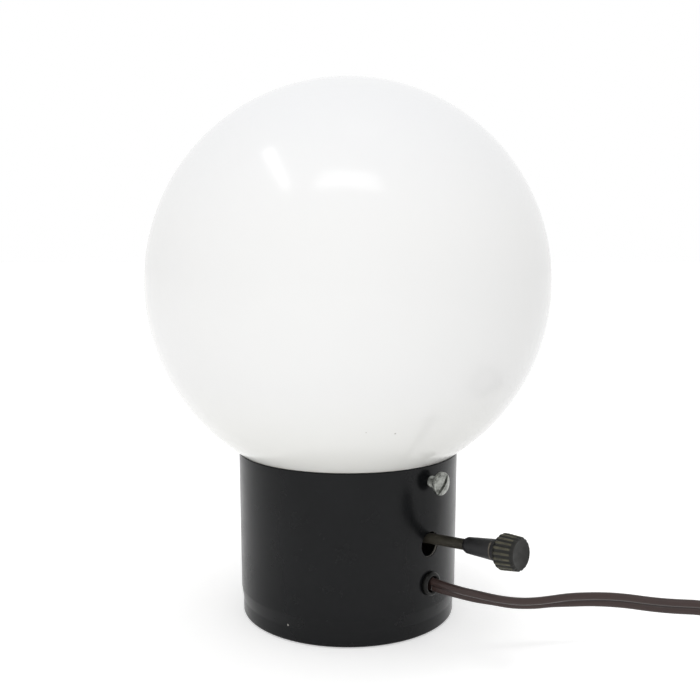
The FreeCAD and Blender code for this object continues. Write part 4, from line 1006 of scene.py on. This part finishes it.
class LAMP_OT_bushing(bpy.types.Operator):
    """Add the moulded bushing that the cord leaves through"""

    bl_idname = "lamp.bushing"
    bl_label = "Add Cord Bushing"

    def execute(self, context):
        bore = 2.95
        neck = 3.9
        flange = 4.4
        face = CORD_EXIT[0] / MM
        outline = rounded([
            (bore, 38.9, 0.2), (neck, 38.9, 0.2), (4.8, 40.4, 0.2), (neck, 40.45, 0), (neck, 41.97, 0),
            (flange, 41.97, 0.2), (flange, face, 0.9), (bore, face, 0.5)], 6)
        bushing = turned("cord_grommet", outline + outline[:1], 72, 50)
        set_down(bushing, (0, 0, CORD_HEIGHT), ALONG_X)
        dress(bushing, "black_bushing", "base", "cord_bushing")
        return {"FINISHED"}


class LAMP_OT_clamp_screw(bpy.types.Operator):
    """Add the threaded and slotted screw that holds the globe's lip"""

    bl_idname = "lamp.clamp_screw"
    bl_label = "Add Clamp Screw"

    def execute(self, context):
        tip = 40.05
        under = 46.05
        shank = 2.05
        root = 1.72
        pitch = 0.8
        outline = [(0, tip), (1.2, tip), (root, tip + 0.3)]
        place = tip + 0.5
        while place < under - pitch:
            outline += [(root, place), (shank, place + pitch * 0.35), (shank, place + pitch * 0.5),
                        (root, place + pitch * 0.85)]
            place += pitch
        head = 4.2
        side = under + 1.1
        crown = 1.1
        outline += [(root, under - 0.15)]
        outline += rounded([
            (root, under, 0), (head, under, 0.2), (head, side, 0.25), (3.8, side + 0.3, 0)])
        curve = (head ** 2 + crown ** 2) / (2 * crown)
        for radius in (3.1, 2.4, 1.6, 0.8, 0.0):
            drop = curve - sqrt(curve ** 2 - radius ** 2)
            outline.append((radius, side + crown - drop))
        screw = turned("clamp_screw_steel", outline, 72, 35)
        set_down(screw, (0, 0, SCREW_HEIGHT), ALONG_X)
        cut_away(screw, bpy.ops.mesh.primitive_cube_add, size=1,
                 location=((side + crown) * MM, 0, SCREW_HEIGHT), scale=(2.4 * MM, 1.35 * MM, 12 * MM),
                 rotation=(radians(-39), 0, 0))
        smooth(screw, 35)
        dress(screw, "bright_steel", "clamp", "clamp_screw")
        return {"FINISHED"}


class LAMP_OT_switch(bpy.types.Operator):
    """Add the turning shaft, its tapered collar and the fluted knob"""

    bl_idname = "lamp.switch"
    bl_label = "Add Switch"

    def execute(self, context):
        sizes = context.scene.lamp_sizes
        bar = sizes.shaft_radius / MM
        start = KNOB_START / MM
        hub = KNOB_HUB_RADIUS / MM
        inner_end = -7
        outer_end = 75.6
        outline = rounded([(0, inner_end, 0), (bar, inner_end, 0.2), (bar, outer_end, 0), (0, outer_end, 0)])
        shaft = turned("switch_spindle", outline, 64)
        set_down(shaft, SHAFT_MIDDLE, ALONG_SHAFT)
        dress(shaft, "bronzed_brass", "switch", "switch_shaft")
        outline = rounded([
            (bar, 58.1, 0), (2.35, 58.3, 0.25), (2.9, 59.4, 0.6), (hub, start, 0.15), (bar, start, 0)], 5)
        collar = turned("tapered_collar", outline + outline[:1], 72, 40)
        set_down(collar, SHAFT_MIDDLE, ALONG_SHAFT)
        dress(collar, "black_collar", "switch", "shaft_collar")
        self.add_knob(sizes, bar, start, hub)
        return {"FINISHED"}

    def add_knob(self, sizes, bar, start, hub):
        rear = sizes.knob_rear / MM
        front = sizes.knob_front / MM
        end = start + sizes.knob_length / MM
        skirt = start + sizes.hub_length / MM
        pit = start + 5
        face = end - 0.12
        face_edge = front - 0.45
        per_flute = 10
        sides = sizes.flutes * per_flute
        outline = rounded([
            (bar, pit, 0), (bar, start, 0), (hub, start, 0.2), (hub, skirt, 0), (rear, skirt, 1.7),
            (front, end, 1), (4.7, end, 0), (4.4, face, 0), (0, face, 0)], 7)
        knob = turned("fluted_knob", [(0, pit)] + outline, sides, 50)
        open_for_edit(knob, select=False)
        for away, depth in enumerate((0.5, 0.46, 0.36, 0.16)):
            factor = 1 - depth / rear

            def in_flute(place):
                radius = hypot(place.x, place.y)
                if radius < face_edge * MM or place.z < skirt * MM:
                    return False
                turn = atan2(place.y, place.x) / (2 * pi) * sides
                step = round(turn) % per_flute
                return min(step, per_flute - step) == away

            choose(knob, in_flute)
            bpy.ops.transform.resize(value=(factor, factor, 1), center_override=(0, 0, pit * MM))
        close_edit()
        set_down(knob, SHAFT_MIDDLE, ALONG_SHAFT)
        smooth(knob, 50)
        dress(knob, "knob_brown", "switch", "switch_knob")


class LAMP_OT_socket(bpy.types.Operator):
    """Add the socket's threaded brass shell and smooth its moulded body"""

    bl_idname = "lamp.socket"
    bl_label = "Add Socket"

    def execute(self, context):
        (_, _, bottom), (outer, _, top) = box_in_mm("screw_shell")
        wall = 0.5
        bore = outer - wall
        hole = 5.5
        turns = 6
        pitch = (top - bottom - 3) / turns
        outline = [(hole, bottom), (bore, bottom), (outer - 0.15, bottom + 0.15), (outer, bottom + wall)]
        inner = []
        for turn in range(turns):
            base = bottom + 1.5 + turn * pitch
            outline += [(outer, base), (outer - 0.25, base + pitch / 2)]
            inner += [(bore, base), (bore - 0.15, base + pitch / 2)]
        outline += [(outer, top - 1), (outer, top), (bore, top), (bore, top - 1)] + inner[::-1]
        outline += [(bore, bottom + wall), (hole, bottom + wall), (hole, bottom)]
        dress(turned("threaded_brass_shell", outline, 96, 60), "brass", "base", "screw_shell")
        self.smooth_body()
        return {"FINISHED"}

    def smooth_body(self):
        """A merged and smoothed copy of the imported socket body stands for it."""
        only(frame["nodes"]["socket_body"])
        bpy.ops.object.duplicate()
        body = bpy.context.object
        bpy.ops.object.parent_clear(type="CLEAR_KEEP_TRANSFORM")
        body.name = "socket_body_finished"
        open_for_edit(body)
        bpy.ops.mesh.remove_doubles(threshold=POINT)
        close_edit()
        smooth(body)
        dress(body, "phenolic", "base", "socket_body")


class LAMP_OT_bulb(bpy.types.Operator):
    """Add the clear bulb's envelope and its threaded cap"""

    bl_idname = "lamp.bulb"
    bl_label = "Add Bulb"

    def execute(self, context):
        self.add_glass(context.scene.lamp_sizes)
        self.add_cap()
        return {"FINISHED"}

    def add_glass(self, sizes):
        (_, _, bottom), (_, _, crown) = box_in_mm("bulb_glass")
        neck = 14
        wall = 0.8
        shoulder = 50
        radius = sizes.bulb_radius / MM
        middle = crown - radius
        drop = sqrt((radius + shoulder) ** 2 - (neck + shoulder) ** 2)
        side = (neck + shoulder, middle - drop)
        touch = degrees(atan2(drop, neck + shoulder))
        outline = [(neck, bottom), (neck, bottom + 2)]
        outline += bend(side, shoulder, 180, 180 - touch, 12)
        outline += bend((0, middle), radius, -touch, 90, 30)[1:]
        outline += bend((0, middle), radius - wall, 90, -touch, 24)
        outline += bend(side, shoulder + wall, 180 - touch, 180, 12)[1:]
        outline += [(neck - wall, bottom), (neck, bottom)]
        dress(turned("clear_bulb", outline, 96, 60), "bulb_glass", "bulb", "bulb_glass")

    def add_cap(self):
        (_, _, bottom), (collar, _, top) = box_in_mm("bulb_base")
        outer = 13.2
        thread = 0.9
        thin = 0.4
        pitch = 3.2
        outline = [(0, bottom), (11, bottom), (12.6, bottom + 0.35)]
        inner = []
        for turn in range(5):
            height = bottom + 0.8 + (turn + 0.5) * pitch
            outline += bend((outer - thread, height), thread, -60, 60, 4)
            inner += [(outer - 0.75 - thin, height)]
        outline += [(outer - 0.4, top - 2), (outer, top - 2), (collar, top - 1.2), (collar, top)]
        outline += [(outer - thin, top), (outer - thin - 0.2, top - 1.5)] + inner[::-1]
        outline += [(11, bottom + 2 * thin), (0, bottom + 2 * thin)]
        dress(turned("threaded_bulb_cap", outline, 96, 60), "bulb_metal", "bulb", "bulb_base")


class LAMP_OT_inner_parts(bpy.types.Operator):
    """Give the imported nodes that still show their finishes"""

    bl_idname = "lamp.inner_parts"
    bl_label = "Finish Inner Parts"

    def execute(self, context):
        for node in frame["nodes"].values():
            for holder in node.material_slots:
                slot = holder.material.name.split(".")[0]
                if slot not in FINISH_NAMES:
                    raise RuntimeError("no finish for " + slot)
                holder.material = finish_named(slot)
        return {"FINISHED"}


# Stage

def area_light(name, place, long, wide, radiance, roll=None):
    """An area light aimed at the globe's middle, its long side level unless a roll is given."""
    light = added(name, bpy.ops.object.light_add, type="AREA", location=place)
    light.data.shape = "RECTANGLE"
    light.data.size = long
    light.data.size_y = wide
    light.data.energy = radiance * pi * long * wide
    back = (Vector(place) - Vector((0, 0, GLOBE_MIDDLE))).normalized()
    side = Vector(roll) if roll else UPWARDS.cross(back)
    side = (side - back * side.dot(back)).normalized()
    light.rotation_euler = Matrix((side, back.cross(side), back)).transposed().to_euler()
    return light


def show_white(nodes, lighting, seen, output):
    """Lighting for diffuse rays; camera, glossy and transmission rays get what is seen."""
    path = nodes.add("LightPath").outputs
    directly = nodes.number("MAXIMUM", path["Is Camera Ray"], path["Is Glossy Ray"])
    directly = nodes.number("MAXIMUM", directly, path["Is Transmission Ray"])
    mix = nodes.add("MixShader", {0: directly, 1: lighting.outputs[0], 2: seen.outputs[0]})
    nodes.feed(nodes.tree.nodes[output].inputs["Surface"], mix.outputs[0])


class LAMP_OT_stage(bpy.types.Operator):
    """Add the pale floor, the white surroundings and the studio lights"""

    bl_idname = "lamp.stage"
    bl_label = "Add Stage"

    def execute(self, context):
        self.add_floor()
        self.add_surroundings(context.scene)
        strips = [
            ("strip_light_upper", (0.388, -0.380, 0.994), 0.46, 0.036, 7.0, (0.436, 0.404, -0.018)),
            ("strip_light_lower", (0.436, -0.432, 0.944), 0.56, 0.045, 7.0, (0.436, 0.404, -0.018)),
            ("strip_light_left", (-0.1655, -0.559, 0.9635), 0.54, 0.08, 5.0, (0.421, -0.344, -0.129)),
        ]
        for strip in strips:
            area_light(*strip).visible_diffuse = False
        area_light("soft_light", (0.60, -0.94, 0.24), 1.4, 0.52, 1.4).visible_glossy = False
        area_light("overhead_light", (0.10, 0.05, 1.30), 0.3, 0.3, 7.2).visible_glossy = False
        # The coil and plug lie outside the photograph, whose globe shows no mirror image of them
        for name in ("cord_flex", "plug_moulding", "plug_pins"):
            bpy.data.objects[name].visible_glossy = False
        context.scene.view_settings.view_transform = "Standard"
        return {"FINISHED"}

    def add_floor(self):
        floor = added("studio_floor", bpy.ops.mesh.primitive_plane_add, size=30)
        paper = bpy.data.materials.new("studio_paper")
        paper.use_nodes = True
        nodes = NodeMaker(paper.node_tree)
        base = nodes.tree.nodes["Principled BSDF"]
        base.inputs["Base Color"].default_value = (0.92, 0.92, 0.92, 1)
        base.inputs["Roughness"].default_value = 0.9
        base.inputs["Specular IOR Level"].default_value = 0.1
        glow = nodes.add("Emission", {"Strength": 0.4})
        both = nodes.add("AddShader", {0: base.outputs[0], 1: glow.outputs[0]})
        show_white(nodes, base, both, "Material Output")
        floor.data.materials.append(paper)

    def add_surroundings(self, scene):
        world = bpy.data.worlds.new("studio_white")
        world.use_nodes = True
        nodes = NodeMaker(world.node_tree)
        lighting = nodes.tree.nodes["Background"]
        lighting.inputs["Color"].default_value = (1, 1, 1, 1)
        lighting.inputs["Strength"].default_value = 0.745
        seen = nodes.add("Background", {"Color": (1, 1, 1), "Strength": 1.0})
        show_white(nodes, lighting, seen, "World Output")
        scene.world = world


class LAMP_PT_pieces(bpy.types.Panel):
    """Lists the lamp's sizes, colours and operators"""

    bl_label = "Glass Globe Table Lamp"
    bl_idname = "LAMP_PT_pieces"
    bl_space_type = "VIEW_3D"
    bl_region_type = "UI"
    bl_category = "Lamp"

    def draw(self, context):
        layout = self.layout
        for step in STEPS:
            layout.operator(step.bl_idname)
        for group in (context.scene.lamp_sizes, context.scene.lamp_colours):
            box = layout.box()
            for name in group.__annotations__:
                box.prop(group, name)


STEPS = (
    LAMP_OT_camera, LAMP_OT_finishes, LAMP_OT_plug, LAMP_OT_cord, LAMP_OT_globe, LAMP_OT_base,
    LAMP_OT_bushing, LAMP_OT_clamp_screw, LAMP_OT_switch, LAMP_OT_socket, LAMP_OT_bulb,
    LAMP_OT_inner_parts, LAMP_OT_stage,
)
CLASSES = (LampSizes, LampColours) + STEPS + (LAMP_PT_pieces,)


def register():
    for cls in CLASSES:
        bpy.utils.register_class(cls)
    bpy.types.Scene.lamp_sizes = bpy.props.PointerProperty(type=LampSizes)
    bpy.types.Scene.lamp_colours = bpy.props.PointerProperty(type=LampColours)


def unregister():
    del bpy.types.Scene.lamp_colours
    del bpy.types.Scene.lamp_sizes
    for cls in reversed(CLASSES):
        bpy.utils.unregister_class(cls)


def main():
    register()
    for step in STEPS:
        family, name = step.bl_idname.split(".")
        getattr(getattr(bpy.ops, family), name)()


if __name__ == "__main__":
    main()
